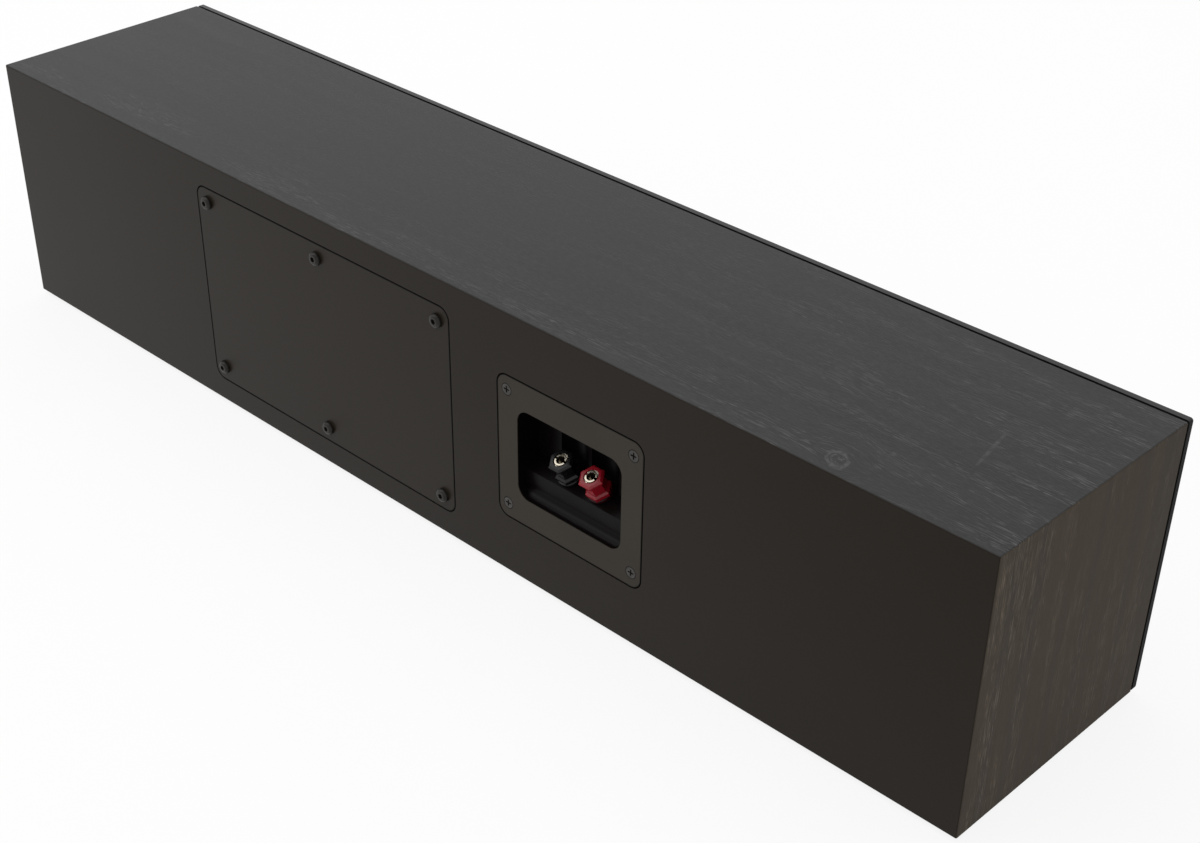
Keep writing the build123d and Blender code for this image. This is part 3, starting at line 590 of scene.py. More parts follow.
@dataclass(frozen=True)
class WoodVinyl(Finish):
    """Black wood-grain vinyl: the grain runs along the length, and upright on the two ends. The ends take a
    paler, warmer colour than the top and bottom: painted light by face.
    """

    end_roughness: Point = (0.70, 0.80)
    ground: Colour = (0.03, 0.03, 0.03)
    # Painted light: the ends' paler, warmer copy of the ground and dash colours.
    end_painted_light_ground: Colour = (0.03, 0.03, 0.03)
    dash: Colour = (0.1, 0.1, 0.1)
    end_painted_light_dash: Colour = (0.1, 0.1, 0.1)
    shade: float = 0.35
    pore_share: float = 0.06
    thin_x: float = -0.02
    thick_x: float = -0.29
    thin_share: float = 0.06
    thick_share: float = 0.43
    near_x: Point = (-0.284, -0.327)
    near_share: float = 0.50
    edge_y: Point = (0.030, 0.062)
    edge_share: float = 0.50
    end_y: Point = (0.010, 0.064)
    end_share: Point = (0.75, 1.60)
    fleck_pitch: float = 0.11
    fleck_radius: float = 0.0006
    fleck_share: float = 0.6
    depth: float = 0.00006
    dash_length: Point = (0.009, 0.011)
    dash_width: Point = (0.0008, 0.0007)
    knot_place: Point = (0.0, 0.0)
    knot_radius: float = 0.0048
    knot_share: float = 0.37
    branch_place: Point = (0.0, 0.0)
    branch_half_length: float = 0.021
    branch_half_width: float = 0.0015
    branch_slope: float = 0.19
    branch_share: Point = (0.07, 0.36)

    def surface(self, graph: Graph, groups: EffectGroups) -> Surface:
        """Lay the grain over the top, the bottom and the ends.

        Args:
            graph: The material's graph.
            groups: The shared shader effects.

        Returns:
            The colour, roughness and normal.
        """
        place = graph.place()
        length, depth, height = graph.split(place)
        end = graph.effect(groups.ends)["Ends"]
        upward = graph.remap(graph.facing()[2], 0.6, 0.8)

        knot_inputs = {
            "Along": length,
            "Across": depth,
            "Centre along": self.knot_place[0],
            "Centre across": self.knot_place[1],
            "Radius": self.knot_radius,
        }
        knot = graph.effect(groups.knot, knot_inputs)
        push = graph.times(knot["Push"], upward)

        grain_inputs = {
            "Along": graph.lerp(end, length, height),
            "Across": graph.minus(depth, push),
            "Dash length": graph.lerp(end, *self.dash_length),
            "Dash width": graph.lerp(end, *self.dash_width),
            "Crowd": graph.times(knot["Crowd"], upward),
        }
        grain = graph.effect(groups.grain, grain_inputs)

        along_share = graph.remap(length, self.thin_x, self.thick_x, self.thin_share, self.thick_share)
        back_share = graph.remap(depth, *self.edge_y, 0.0, self.edge_share)
        end_share = graph.remap(depth, *self.end_y, *self.end_share)
        near_share = graph.remap(length, *self.near_x, 0.0, self.near_share)
        top_share = graph.plus(graph.larger(along_share, back_share), near_share)
        share = graph.lerp(end, top_share, end_share)
        marks = graph.times(grain["Dashes"], share)
        marks = graph.plus(marks, graph.times(grain["Pores"], self.pore_share))
        branch = self._branch(graph, length, depth)
        rings = graph.times(knot["Rings"], self.knot_share)
        figure = graph.larger(graph.larger(rings, branch), self._flecks(graph, place))
        marks = graph.larger(marks, graph.times(figure, upward))

        # The ends' paler, warmer ground and dashes are painted light; the top and bottom keep the cool dark
        # copy.
        plain = graph.mix(end, self.ground, self.end_painted_light_ground)
        shadow = graph.remap(grain["Tone"], 0.25, 0.75, self.shade, 0.0)
        darker = graph.mix(shadow, plain, BLACK)
        colour = graph.mix(marks, darker, graph.mix(end, self.dash, self.end_painted_light_dash))
        top_roughness = graph.remap(grain["Tone"], 0.2, 0.8, *self.roughness)
        end_roughness = graph.remap(grain["Tone"], 0.2, 0.8, *self.end_roughness)
        roughness = graph.lerp(end, top_roughness, end_roughness)
        return colour, roughness, graph.bump(grain["Height"], self.depth)

    def _flecks(self, graph: Graph, place: Feed) -> bpy.types.NodeSocket:
        """Scatter a few pale flecks.

        Args:
            graph: The material's graph.
            place: Place on the object.

        Returns:
            The flecks, from 0 to their share.
        """
        cells = graph.add("ShaderNodeTexVoronoi", {"Vector": place, "Scale": 1.0 / self.fleck_pitch})
        edge = self.fleck_radius / self.fleck_pitch
        return graph.remap(cells.outputs["Distance"], edge, edge / 2.0, 0.0, self.fleck_share)

    def _branch(self, graph: Graph, length: Feed, depth: Feed) -> bpy.types.NodeSocket:
        """Make the pale mark of a twig that crosses the grain.

        Args:
            graph: The material's graph.
            length: Place along the cabinet.
            depth: Place across it.

        Returns:
            The mark, from 0 to 1.
        """
        run = graph.minus(depth, self.branch_place[1])
        side = graph.minus(length, self.branch_place[0])
        side = graph.plus(side, graph.times(run, self.branch_slope))
        long = graph.over(run, self.branch_half_length)
        wide = graph.over(side, self.branch_half_width)
        patches = graph.noise(graph.joined(length, depth), scale=170.0)
        broken = graph.remap(patches, 0.38, 0.62, *self.branch_share)
        return graph.times(graph.remap(graph.reach(long, wide), 1.0, 0.2), broken)


@dataclass(frozen=True)
class Panel:
    """The outline of a panel that is let into the back."""

    low: Vector
    high: Vector
    corner: float = PANEL_CORNER

    def line(self, graph: Graph, groups: EffectGroups) -> bpy.types.NodeSocket:
        """Draw the painted shadow and dust line along the seam round the panel.

        Args:
            graph: The material's graph.
            groups: The shared shader effects.

        Returns:
            The line, from 0 to 1.
        """
        middle = self.low.lerp(self.high, 0.5)
        length, _, height = graph.split(graph.place())
        inputs = {
            "Along": graph.minus(length, middle.x),
            "Up": graph.minus(height, middle.z),
            "Half along": self.high.x - middle.x,
            "Half up": self.high.z - middle.z,
            "Corner": self.corner,
        }
        return graph.effect(groups.seam, inputs)["Line"]


@dataclass(frozen=True)
class Moulded(Finish):
    """A moulded, painted, cast or pressed surface with a fine even texture, and a painted shadow and dust
    line along each seam.
    """

    colour: Colour = (0.03, 0.03, 0.03)
    second: Colour = (0.04, 0.04, 0.04)
    grain_size: float = 0.0008
    grain_share: float = 0.4
    mottle_size: float = 0.05
    mottle_share: float = 0.6
    scuffs: float = 0.0
    depth: float = 0.00002
    end_roughness: float | None = None
    shaded_seams: Sequence[Panel] = ()
    # Colour of the painted shadow and dust line along a seam, and of the painted shadow round seated screw
    # heads.
    seam_shade_colour: Colour = (0.001, 0.001, 0.001)
    seam_roughness: float = 0.9

    def surface(self, graph: Graph, groups: EffectGroups) -> Surface:
        """Mottle the colour and texture the surface.

        Args:
            graph: The material's graph.
            groups: The shared shader effects.

        Returns:
            The colour, roughness and normal.
        """
        sizes = {"Grain size": self.grain_size, "Mottle size": self.mottle_size}
        mottle = graph.effect(groups.mottle, sizes)
        spread = graph.times(graph.remap(mottle["Mottle"], 0.3, 0.7), self.mottle_share)
        spread = graph.plus(spread, graph.remap(mottle["Grain"], 0.3, 0.7, 0.0, self.grain_share))
        spread = graph.plus(spread, graph.times(mottle["Scuffs"], self.scuffs))
        colour = graph.mix(spread, self.colour, self.second)
        roughness = graph.remap(mottle["Mottle"], 0.25, 0.75, *self.roughness)
        if self.end_roughness is not None:
            roughness = graph.lerp(graph.effect(groups.ends)["Ends"], roughness, self.end_roughness)
        # Painted shadow and dust along each seam: the colour goes darker and the surface rougher.
        for panel in self.shaded_seams:
            line = panel.line(graph, groups)
            colour = graph.mix(line, colour, self.seam_shade_colour)
            roughness = graph.lerp(line, roughness, self.seam_roughness)
        return colour, roughness, graph.bump(mottle["Height"], self.depth)


@dataclass(frozen=True)
class RecessedPlastic(Moulded):
    """Satin moulded plastic whose recess is glossier than its face and painted near black as shade."""

    face_y: float = 0.0
    # Painted shade colour of the recess.
    inside: Colour = (0.003, 0.002, 0.002)
    inside_roughness: Point = (0.26, 0.34)
    lip: float = 0.0006

    def surface(self, graph: Graph, groups: EffectGroups) -> Surface:
        """Change the finish from the face to the recess: glossier there, with the colour painted near black
        as shade.

        Args:
            graph: The material's graph.
            groups: The shared shader effects.

        Returns:
            The colour, roughness and normal.
        """
        colour, roughness, normal = super().surface(graph, groups)
        depth = graph.split(graph.place())[1]
        # Mask of the recess, where the colour is painted near black as shade.
        inner = graph.remap(depth, self.face_y - self.lip / 3, self.face_y - self.lip)
        polished = graph.remap(roughness, *self.roughness, *self.inside_roughness)
        return graph.mix(inner, colour, self.inside), graph.lerp(inner, roughness, polished), normal


@dataclass(frozen=True)
class PostMetal(Moulded):
    """Plated metal that is duller inside the sockets of the two posts, with its colour there painted dark as
    shade.
    """

    sockets: Sequence[Mapping[str, Any]] = ()
    # Painted shade colour inside the socket bores.
    inside: Colour = (0.05, 0.04, 0.03)
    inside_roughness: float = 0.7
    lip: float = 0.0002

    def surface(self, graph: Graph, groups: EffectGroups) -> Surface:
        """Paint shade on the metal within the sockets' radius, measured from the two leaning axes, and make
        it duller there.

        Args:
            graph: The material's graph.
            groups: The shared shader effects.

        Returns:
            The colour, roughness and normal.
        """
        colour, roughness, normal = super().surface(graph, groups)
        first, second = (Vector(socket["pos_m"]) for socket in self.sockets)
        middle = first.lerp(second, 0.5)
        lean = Vector(self.sockets[0]["axis"])
        radius = self.sockets[0]["dims"]["r_mm"] / 1000.0
        length, depth, height = graph.split(graph.place())
        side = graph.folded(length, middle.x, abs(first.x - second.x) / 2.0)
        back = graph.times(graph.minus(depth, middle.y), lean.z)
        rise = graph.times(graph.minus(height, middle.z), lean.y)
        away = graph.reach(side, graph.minus(back, rise))
        # Mask of the socket bores, where shade is painted into the colour.
        inner = graph.remap(away, radius + self.lip, radius)
        roughness = graph.lerp(inner, roughness, self.inside_roughness)
        return graph.mix(inner, colour, self.inside), roughness, normal


@dataclass(frozen=True)
class SeatedScrews(Moulded):
    """Four screw heads, each with a painted shadow line round it where it sinks into its seat."""

    low: Sequence[float] = (0.0, 0.0, 0.0)
    high: Sequence[float] = (0.0, 0.0, 0.0)
    radius: float = 0.0035
    line: float = 0.0005

    def surface(self, graph: Graph, groups: EffectGroups) -> Surface:
        """Paint a shadow line round the rim of each head.

        Args:
            graph: The material's graph.
            groups: The shared shader effects.

        Returns:
            The colour, roughness and normal.
        """
        colour, roughness, normal = super().surface(graph, groups)
        place = graph.split(graph.place())
        side, rise = (
            graph.folded(
                place[axis],
                (self.low[axis] + self.high[axis]) / 2.0,
                (self.high[axis] - self.low[axis]) / 2.0 - self.radius,
            )
            for axis in (0, 2)
        )
        # Painted shadow round each head's rim, where it sinks into its seat.
        rim = graph.remap(graph.reach(side, rise), self.radius - self.line, self.radius - self.line / 2.0)
        roughness = graph.lerp(rim, roughness, self.seam_roughness)
        return graph.mix(rim, colour, self.seam_shade_colour), roughness, normal


@dataclass(frozen=True)
class Turned(Finish):
    """A round piece with fine rings about an axis that faces the front."""

    colour: Colour = (0.05, 0.05, 0.05)
    second: Colour = (0.07, 0.07, 0.07)
    middle: Colour = (0.05, 0.05, 0.05)
    middle_share: float = 0.38
    middle_blur: float = 0.96
    rings: float = 60.0
    sweep_share: float = 0.4
    grain_size: float = 0.0006
    grain_share: float = 0.45
    depth: float = 0.00003

    def surface(self, graph: Graph, groups: EffectGroups) -> Surface:
        """Ring the surface and set off its middle.

        Args:
            graph: The material's graph.
            groups: The shared shader effects.

        Returns:
            The colour, roughness and normal.
        """
        turning = graph.effect(groups.turning, {"Rings": self.rings})
        mottle = graph.effect(groups.mottle, {"Grain size": self.grain_size})
        lines = graph.lerp(self.grain_share, turning["Lines"], mottle["Grain"])
        swept = graph.lerp(self.sweep_share, lines, turning["Sweep"])
        ringed = graph.mix(swept, self.colour, self.second)
        inner = graph.remap(turning["Radius"], self.middle_share, self.middle_share * self.middle_blur)
        colour = graph.mix(inner, ringed, self.middle)
        roughness = graph.remap(lines, 0.2, 0.8, *self.roughness)
        return colour, roughness, graph.bump(lines, self.depth)


def finishes(
    back_y: float,
    sockets: Sequence[Mapping[str, Any]],
    groups: EffectGroups,
) -> dict[str, bpy.types.Material]:
    """Make every material, by the slot that it finishes.

    Args:
        back_y: Place of the back face, in metres.
        sockets: The record's mounts for the two posts' sockets.
        groups: The shared shader effects.

    Returns:
        The materials by slot name.
    """
    cover, cup = (Panel(*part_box(node)) for node in ("access_cover", "terminal_cup"))
    screws_low, screws_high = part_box("cup_screws")
    post_texture = {"grain_size": 0.0004, "mottle_size": 0.006, "depth": 0.000006}
    made: list[Finish] = [
        WoodVinyl(
            "vinyl_wrap",
            roughness=(0.38, 0.46),
            specular=0.18,
            ground=(0.0235, 0.0235, 0.0240),
            end_painted_light_ground=(0.051, 0.039, 0.027),
            dash=(0.130, 0.130, 0.131),
            end_painted_light_dash=(0.125, 0.103, 0.080),
            knot_place=(-0.2473, 0.0579),
            branch_place=(-0.2856, 0.0092),
        ),
        # The rear, cover and cup finishes paint a shadow and dust line along the seam round the cover and the
        # cup.
        Moulded(
            "rear_finish",
            roughness=(0.28, 0.34),
            specular=0.12,
            colour=(0.0112, 0.0075, 0.0042),
            second=(0.0136, 0.0094, 0.0056),
            grain_size=0.0011,
            mottle_size=0.09,
            depth=0.000025,
            shaded_seams=(cover, cup),
        ),
        Moulded(
            "cover_finish",
            roughness=(0.30, 0.36),
            specular=0.12,
            colour=(0.0142, 0.0103, 0.0066),
            second=(0.0168, 0.0125, 0.0084),
            grain_size=0.0007,
            mottle_size=0.06,
            scuffs=0.25,
            depth=0.00002,
            shaded_seams=(cover,),
        ),
        RecessedPlastic(
            "cup_plastic",
            roughness=(0.46, 0.54),
            specular=0.07,
            colour=(0.037, 0.0325, 0.0265),
            second=(0.045, 0.0395, 0.0325),
            grain_size=0.0006,
            mottle_size=0.03,
            depth=0.000015,
            face_y=back_y,
            shaded_seams=(cup,),
        ),
        Moulded(
            "front_plate",
            roughness=(0.26, 0.33),
            specular=0.25,
            colour=(0.010, 0.010, 0.010),
            second=(0.015, 0.015, 0.015),
            grain_size=0.0006,
            scuffs=0.2,
            depth=0.00001,
            end_roughness=0.9,
        ),
        Moulded(
            "foot_rubber",
            roughness=(0.75, 0.85),
            specular=0.3,
            colour=(0.012, 0.012, 0.012),
            second=(0.022, 0.022, 0.022),
            grain_size=0.0009,
            depth=0.00005,
        ),
        # The cup screws carry a painted shadow line round each head.
        SeatedScrews(
            "cup_screws",
            roughness=(0.22, 0.32),
            specular=0.30,
            colour=(0.014, 0.013, 0.011),
            second=(0.050, 0.046, 0.041),
            grain_size=0.0004,
            mottle_size=0.002,
            depth=0.000006,
            low=screws_low,
            high=screws_high,
            radius=CUP_SCREW_RADIUS,
        ),
        Moulded(
            "black_screws",
            roughness=(0.20, 0.30),
            specular=0.22,
            colour=(0.006, 0.005, 0.004),
            second=(0.020, 0.017, 0.014),
            grain_size=0.0005,
            mottle_size=0.004,
            scuffs=0.6,
            depth=0.00001,
        ),
        Moulded(
            "post_black",
            roughness=(0.16, 0.24),
            specular=0.26,
            colour=(0.003, 0.003, 0.003),
            second=(0.006, 0.006, 0.006),
            **post_texture,
        ),
        Moulded(
            "post_red",
            roughness=(0.18, 0.26),
            specular=0.4,
            colour=(0.200, 0.004, 0.010),
            second=(0.260, 0.006, 0.014),
            **post_texture,
        ),
        # A darker, duller copy of the red plastic for the collar under the red cap: painted shade deep in the
        # cup.
        Moulded(
            "collar_red_painted_shade",
            roughness=(0.30, 0.40),
            specular=0.15,
            colour=(0.014, 0.001, 0.002),
            second=(0.022, 0.002, 0.003),
            **post_texture,
        ),
        PostMetal(
            "post_metal",
            roughness=(0.16, 0.28),
            metallic=1.0,
            colour=(0.50, 0.45, 0.35),
            second=(0.62, 0.57, 0.48),
            grain_size=0.0005,
            mottle_size=0.003,
            depth=0.000008,
            sockets=sockets,
        ),
        Moulded(
            "frame_plastic",
            roughness=(0.40, 0.50),
            specular=0.45,
            colour=(0.011, 0.011, 0.011),
            second=(0.018, 0.018, 0.018),
            grain_size=0.0007,
            depth=0.00003,
        ),
        Turned(
            "surround_rubber",
            roughness=(0.52, 0.64),
            specular=0.4,
            sheen=0.1,
            colour=(0.010, 0.010, 0.010),
            second=(0.017, 0.017, 0.017),
            middle=(0.012, 0.012, 0.012),
            rings=90.0,
            depth=0.00002,
        ),
        Turned(
            "cone_plastic",
            roughness=(0.34, 0.46),
            specular=0.5,
            colour=(0.030, 0.030, 0.032),
            second=(0.048, 0.048, 0.051),
            middle=(0.026, 0.026, 0.028),
            rings=70.0,
            depth=0.00004,
        ),
        Moulded(
            "waveguide_plastic",
            roughness=(0.38, 0.46),
            specular=0.45,
            colour=(0.012, 0.012, 0.012),
            second=(0.018, 0.018, 0.018),
            grain_size=0.0006,
            depth=0.00002,
        ),
        Turned(
            "dome_metal",
            roughness=(0.24, 0.34),
            metallic=1.0,
            colour=(0.34, 0.34, 0.36),
            second=(0.46, 0.46, 0.48),
            middle=(0.42, 0.42, 0.44),
            middle_share=0.62,
            rings=40.0,
            depth=0.000008,
        ),
        Moulded(
            "fibreboard",
            roughness=(0.75, 0.88),
            specular=0.25,
            colour=(0.28, 0.19, 0.11),
            second=(0.42, 0.31, 0.19),
            grain_size=0.0007,
            mottle_size=0.004,
            scuffs=0.3,
            depth=0.00006,
        ),
        Moulded(
            "foam",
            roughness=(0.85, 0.95),
            specular=0.2,
            colour=(0.015, 0.015, 0.015),
            second=(0.045, 0.045, 0.045),
            grain_size=0.0009,
            depth=0.0002,
        ),
        Moulded(
            "tag_brass",
            roughness=(0.22, 0.36),
            metallic=1.0,
            colour=(0.62, 0.48, 0.24),
            second=(0.74, 0.62, 0.36),
            mottle_size=0.004,
            scuffs=0.3,
        ),
        Turned(
            "coil_metal",
            roughness=(0.25, 0.40),
            metallic=1.0,
            colour=(0.55, 0.55, 0.56),
            second=(0.68, 0.68, 0.68),
            middle=(0.60, 0.60, 0.60),
            rings=30.0,
        ),
        Turned(
            "spider_cloth",
            roughness=(0.80, 0.92),
            specular=0.2,
            sheen=0.3,
            colour=(0.34, 0.20, 0.06),
            second=(0.48, 0.31, 0.11),
            middle=(0.40, 0.25, 0.08),
            rings=110.0,
            depth=0.00008,
        ),
        Moulded(
            "plated_steel",
            roughness=(0.26, 0.42),
            metallic=1.0,
            colour=(0.46, 0.46, 0.43),
            second=(0.60, 0.58, 0.50),
            mottle_size=0.012,
            scuffs=0.4,
        ),
        Moulded(
            "ferrite",
            roughness=(0.55, 0.70),
            specular=0.4,
            colour=(0.030, 0.030, 0.031),
            second=(0.060, 0.060, 0.062),
            grain_size=0.0007,
            mottle_size=0.01,
            scuffs=0.5,
        ),
        Moulded(
            "circuit_board",
            roughness=(0.28, 0.40),
            specular=0.5,
            colour=(0.020, 0.110, 0.040),
            second=(0.035, 0.150, 0.060),
            grain_size=0.0010,
            mottle_size=0.008,
            scuffs=0.3,
        ),
        Moulded(
            "spacer_plastic",
            roughness=(0.42, 0.55),
            specular=0.4,
            colour=(0.62, 0.60, 0.54),
            second=(0.72, 0.70, 0.64),
            mottle_size=0.004,
        ),
        Turned(
            "copper_wire",
            roughness=(0.24, 0.38),
            metallic=1.0,
            colour=(0.50, 0.20, 0.09),
            second=(0.66, 0.31, 0.15),
            middle=(0.52, 0.22, 0.10),
            rings=24.0,
            depth=0.0002,
        ),
        Moulded(
            "capacitor_film",
            roughness=(0.22, 0.34),
            specular=0.5,
            colour=(0.46, 0.34, 0.05),
            second=(0.58, 0.44, 0.09),
            mottle_size=0.012,
        ),
        Moulded(
            "resistor_ceramic",
            roughness=(0.70, 0.85),
            specular=0.3,
            colour=(0.58, 0.56, 0.50),
            second=(0.72, 0.70, 0.64),
            grain_size=0.0008,
            mottle_size=0.005,
            depth=0.00006,
        ),
        Moulded(
            "wadding",
            roughness=(0.92, 1.0),
            specular=0.1,
            sheen=0.4,
            colour=(0.62, 0.62, 0.60),
            second=(0.82, 0.82, 0.80),
            grain_size=0.0030,
            mottle_size=0.02,
            depth=0.002,
        ),
        Moulded(
            "lead_insulation",
            roughness=(0.45, 0.58),
            specular=0.4,
            colour=(0.060, 0.010, 0.010),
            second=(0.090, 0.018, 0.018),
            mottle_size=0.01,
        ),
    ]
    return {finish.name: finish.material(groups) for finish in made}


def ring_mesh(name: str, section: Sequence[Point], centre: Vector, segments: int) -> bpy.types.Object:
    """Turn a closed section about an axis that faces the front.

    Args:
        name: Name of the new object.
        section: Corners of the section, as a radius and a place along Y.
        centre: A point on the axis.
        segments: Steps around the axis.

    Returns:
        The object, shaded smooth with its sharp edges kept.
    """
    angles = np.linspace(0.0, 2.0 * math.pi, segments, endpoint=False)
    radius = np.array([corner[0] for corner in section])
    depth = np.array([corner[1] for corner in section])
    across = centre.x + np.outer(np.cos(angles), radius)
    rise = centre.z + np.outer(np.sin(angles), radius)
    back = np.broadcast_to(depth, across.shape)
    points = np.stack([across, back, rise], axis=-1).reshape(-1, 3)
    corners = len(section)
    faces = []
    for step in range(segments):
        this_row = step * corners
        next_row = (step + 1) % segments * corners
        for corner in range(corners):
            other = (corner + 1) % corners
            faces.append((this_row + corner, this_row + other, next_row + other, next_row + corner))
    mesh = bpy.data.meshes.new(name)
    mesh.from_pydata(points.tolist(), [], faces)
    mesh.shade_smooth()
    mesh.set_sharp_from_angle(angle=SHARP_ANGLE)
    ring = bpy.data.objects.new(name, mesh)
    bpy.context.scene.collection.objects.link(ring)
    return ring


def axis_distances(piece: bpy.types.Object, centre: Vector) -> list[float]:
    """Measure how far each point of a mesh is from an axis that faces the front.

    Args:
        piece: The node or new piece.
        centre: A point on the axis.

    Returns:
        The distances, in metres.
    """
    return [math.hypot(point.co.x - centre.x, point.co.z - centre.z) for point in piece.data.vertices]


@dataclass
class SubAssembly:
    """CAD nodes and new pieces that belong together."""

    frame: Mapping[str, Any]
    materials: Mapping[str, bpy.types.Material]

    def node_names(self) -> list[str]:
        """List the CAD nodes that keep their shape here."""
        return []

    def build(self) -> list[bpy.types.Object]:
        """Build the new pieces, of which a plain sub-assembly has none."""
        return []

    def dress(self) -> None:
        """Give each node the material of its slot in the record."""
        slots = {part["node"]: part["material_slot"] for part in self.frame["record"]["subparts"]}
        for name in self.node_names():
            self.clothe(self.frame["nodes"][name], slots[name])

    def clothe(self, piece: bpy.types.Object, slot: str) -> None:
        """Give a piece the material of a slot.

        Args:
            piece: The node or new piece.
            slot: Name of the slot.
        """
        piece.data.materials.clear()
        piece.data.materials.append(self.materials[slot])
        LOG.info("%s takes %s", piece.name, slot)


@dataclass
class Cabinet(SubAssembly):
    """The wrapped box with its front plate, boards and feet."""

    def node_names(self) -> list[str]:
        """List the boards, the front plate, the feet and the wadding."""
        boards = ["cabinet_wrap", "rear_panel", "baffle_board", "brace_left", "brace_right"]
        return boards + ["front_plate", "rubber_feet", "wadding"]


@dataclass
class AccessCover(SubAssembly):
    """The screwed cover in the back, with the crossover on its inside."""

    def node_names(self) -> list[str]:
        """List the cover, its screws and what it carries."""
        carried = ["board", "spacers", "inductors", "capacitors", "resistors"]
        outside = ["access_cover", "cover_gasket", "cover_screws", "driver_leads", "input_leads"]
        return outside + [f"crossover_{piece}" for piece in carried]


@dataclass
class TerminalCup(SubAssembly):
    """The recessed cup in the back with its two binding posts."""

    def node_names(self) -> list[str]:
        """List the cup, its fasteners and the pieces of both posts."""
        pieces = ["post", "collar", "cap", "cap_insert"]
        posts = [f"{polarity.value}_{piece}" for polarity in Polarity for piece in pieces]
        return ["terminal_cup", "cup_gasket", "cup_screws", "solder_tags", "post_nuts"] + posts

    def dress(self) -> None:
        """Dress the nodes, with a darker red collar under the red cap as painted shade and a painted shadow
        line round each screw.
        """
        super().dress()
        self.clothe(self.frame["nodes"]["cup_screws"], "cup_screws")
        # The red collar takes the darker copy of the red plastic, painted shade.
        self.clothe(self.frame["nodes"][f"{Polarity.POSITIVE.value}_collar"], "collar_red_painted_shade")


@dataclass
class Tweeter(SubAssembly):
    """The dome tweeter in its square waveguide."""

    def node_names(self) -> list[str]:
        """List the waveguide, the diaphragm and the motor."""
        pieces = ["waveguide", "diaphragm", "voice_coil", "top_plate", "magnet", "yoke", "screws"]
        return [f"tweeter_{piece}" for piece in pieces]


@dataclass
class WooferMotors(SubAssembly):
    """What the four woofers share: magnets, steel plates and screws."""

    def node_names(self) -> list[str]:
        """List the shared nodes."""
        return ["woofer_magnets", "woofer_top_plates", "woofer_yokes", "woofer_screws"]


@dataclass
class Woofer(SubAssembly):
    """One woofer: its frame and cone from CAD, its two flexing rings modelled here."""

    number: int = 1
    segments: int = 144
    arc_steps: int = 22
    rubber_thickness: float = 0.0010
    seat_width: float = 0.0025
    lip_width: float = 0.0022
    cloth_thickness: float = 0.0006
    cloth_wave: float = 0.0009
    cloth_waves: int = 6
    cloth_steps: int = 8
    cloth_glue: float = 0.0022
    cloth_ledge: float = 0.0039

    def node_names(self) -> list[str]:
        """List the nodes of this woofer alone."""
        return [f"woofer_{self.number}_{piece}" for piece in ("frame", "cone", "voice_coil")]

    @property
    def body(self) -> str:
        """Name the body that moves."""
        return f"woofer_{self.number}_diaphragm"

    @property
    def centre(self) -> Vector:
        """Find the middle of the voice coil."""
        low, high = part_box(f"woofer_{self.number}_voice_coil")
        return low.lerp(high, 0.5)

    def build(self) -> list[bpy.types.Object]:
        """Build the rubber surround and the cloth spider.

        Returns:
            The two rings.
        """
        return [self._surround(), self._spider()]

    def _surround(self) -> bpy.types.Object:
        """Model the half roll of rubber between the frame and the cone.

        Returns:
            The surround.
        """
        node = f"woofer_{self.number}_surround"
        low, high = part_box(node)
        outer = (high.x - low.x) / 2
        roll = high.y - low.y
        middle = outer - self.seat_width - roll + self.rubber_thickness
        inner = middle - roll + self.rubber_thickness
        face = high.y - self.rubber_thickness
        start = math.asin(self.rubber_thickness / roll)
        front_arc = [
            (middle + roll * math.cos(angle), high.y - roll * math.sin(angle))
            for angle in np.linspace(start, math.pi - start, self.arc_steps)
        ]
        hollow = roll - self.rubber_thickness
        back_arc = [
            (middle + hollow * math.cos(angle), high.y - hollow * math.sin(angle))
            for angle in np.linspace(math.pi, 0.0, self.arc_steps)
        ]
        rim = [(outer, high.y), (outer, face)]
        lip = [(inner - self.lip_width, face), (inner - self.lip_width, high.y)]
        section = rim + front_arc + lip + back_arc
        ring = ring_mesh(f"woofer_{self.number}_rubber_roll", section, low.lerp(high, 0.5), self.segments)
        self._finish_ring(ring, "surround_rubber", node, middle + hollow, inner)
        return ring

    def _spider(self) -> bpy.types.Object:
        """Model the waved cloth disc that centres the voice coil.

        Returns:
            The spider.
        """
        low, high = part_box("woofer_spiders")
        outer = (high.z - low.z) / 2
        inner = min(axis_distances(self.frame["nodes"]["woofer_spiders"], self.centre))
        first = inner + self.cloth_glue
        last = outer - self.cloth_ledge
        level = (low.y + high.y) / 2
        shares = np.linspace(0.0, 1.0, self.cloth_waves * self.cloth_steps + 1)
        wave = [
            (first + (last - first) * share, self.cloth_wave * math.sin(math.pi * self.cloth_waves * share))
            for share in shares
        ]
        line = [(inner, 0.0)] + wave + [(outer, 0.0)]
        half = self.cloth_thickness / 2
        front = [(radius, level + height - half) for radius, height in line]
        back = [(radius, level + height + half) for radius, height in reversed(line)]
        ring = ring_mesh(f"woofer_{self.number}_cloth_spider", front + back, self.centre, self.segments)
        self._finish_ring(ring, "spider_cloth", "woofer_spiders", last, first)
        return ring

    def _finish_ring(self, ring: bpy.types.Object, slot: str, node: str, held: float, carried: float) -> None:
        """Dress a ring, hide the node that it stands for, and measure each point's distance from the woofer's
        axis.

        Args:
            ring: The ring.
            slot: Slot of its finish.
            node: CAD node that it stands for.
            held: Radius from which it stays with the cabinet.
            carried: Radius up to which it goes with the cone.
        """
        self.clothe(ring, slot)
        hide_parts(node)
        start, end = (self.centre + Vector((radius, 0, 0)) for radius in (held, carried))
        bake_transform(ring)
        reach = np.array(axis_distances(ring, self.centre))


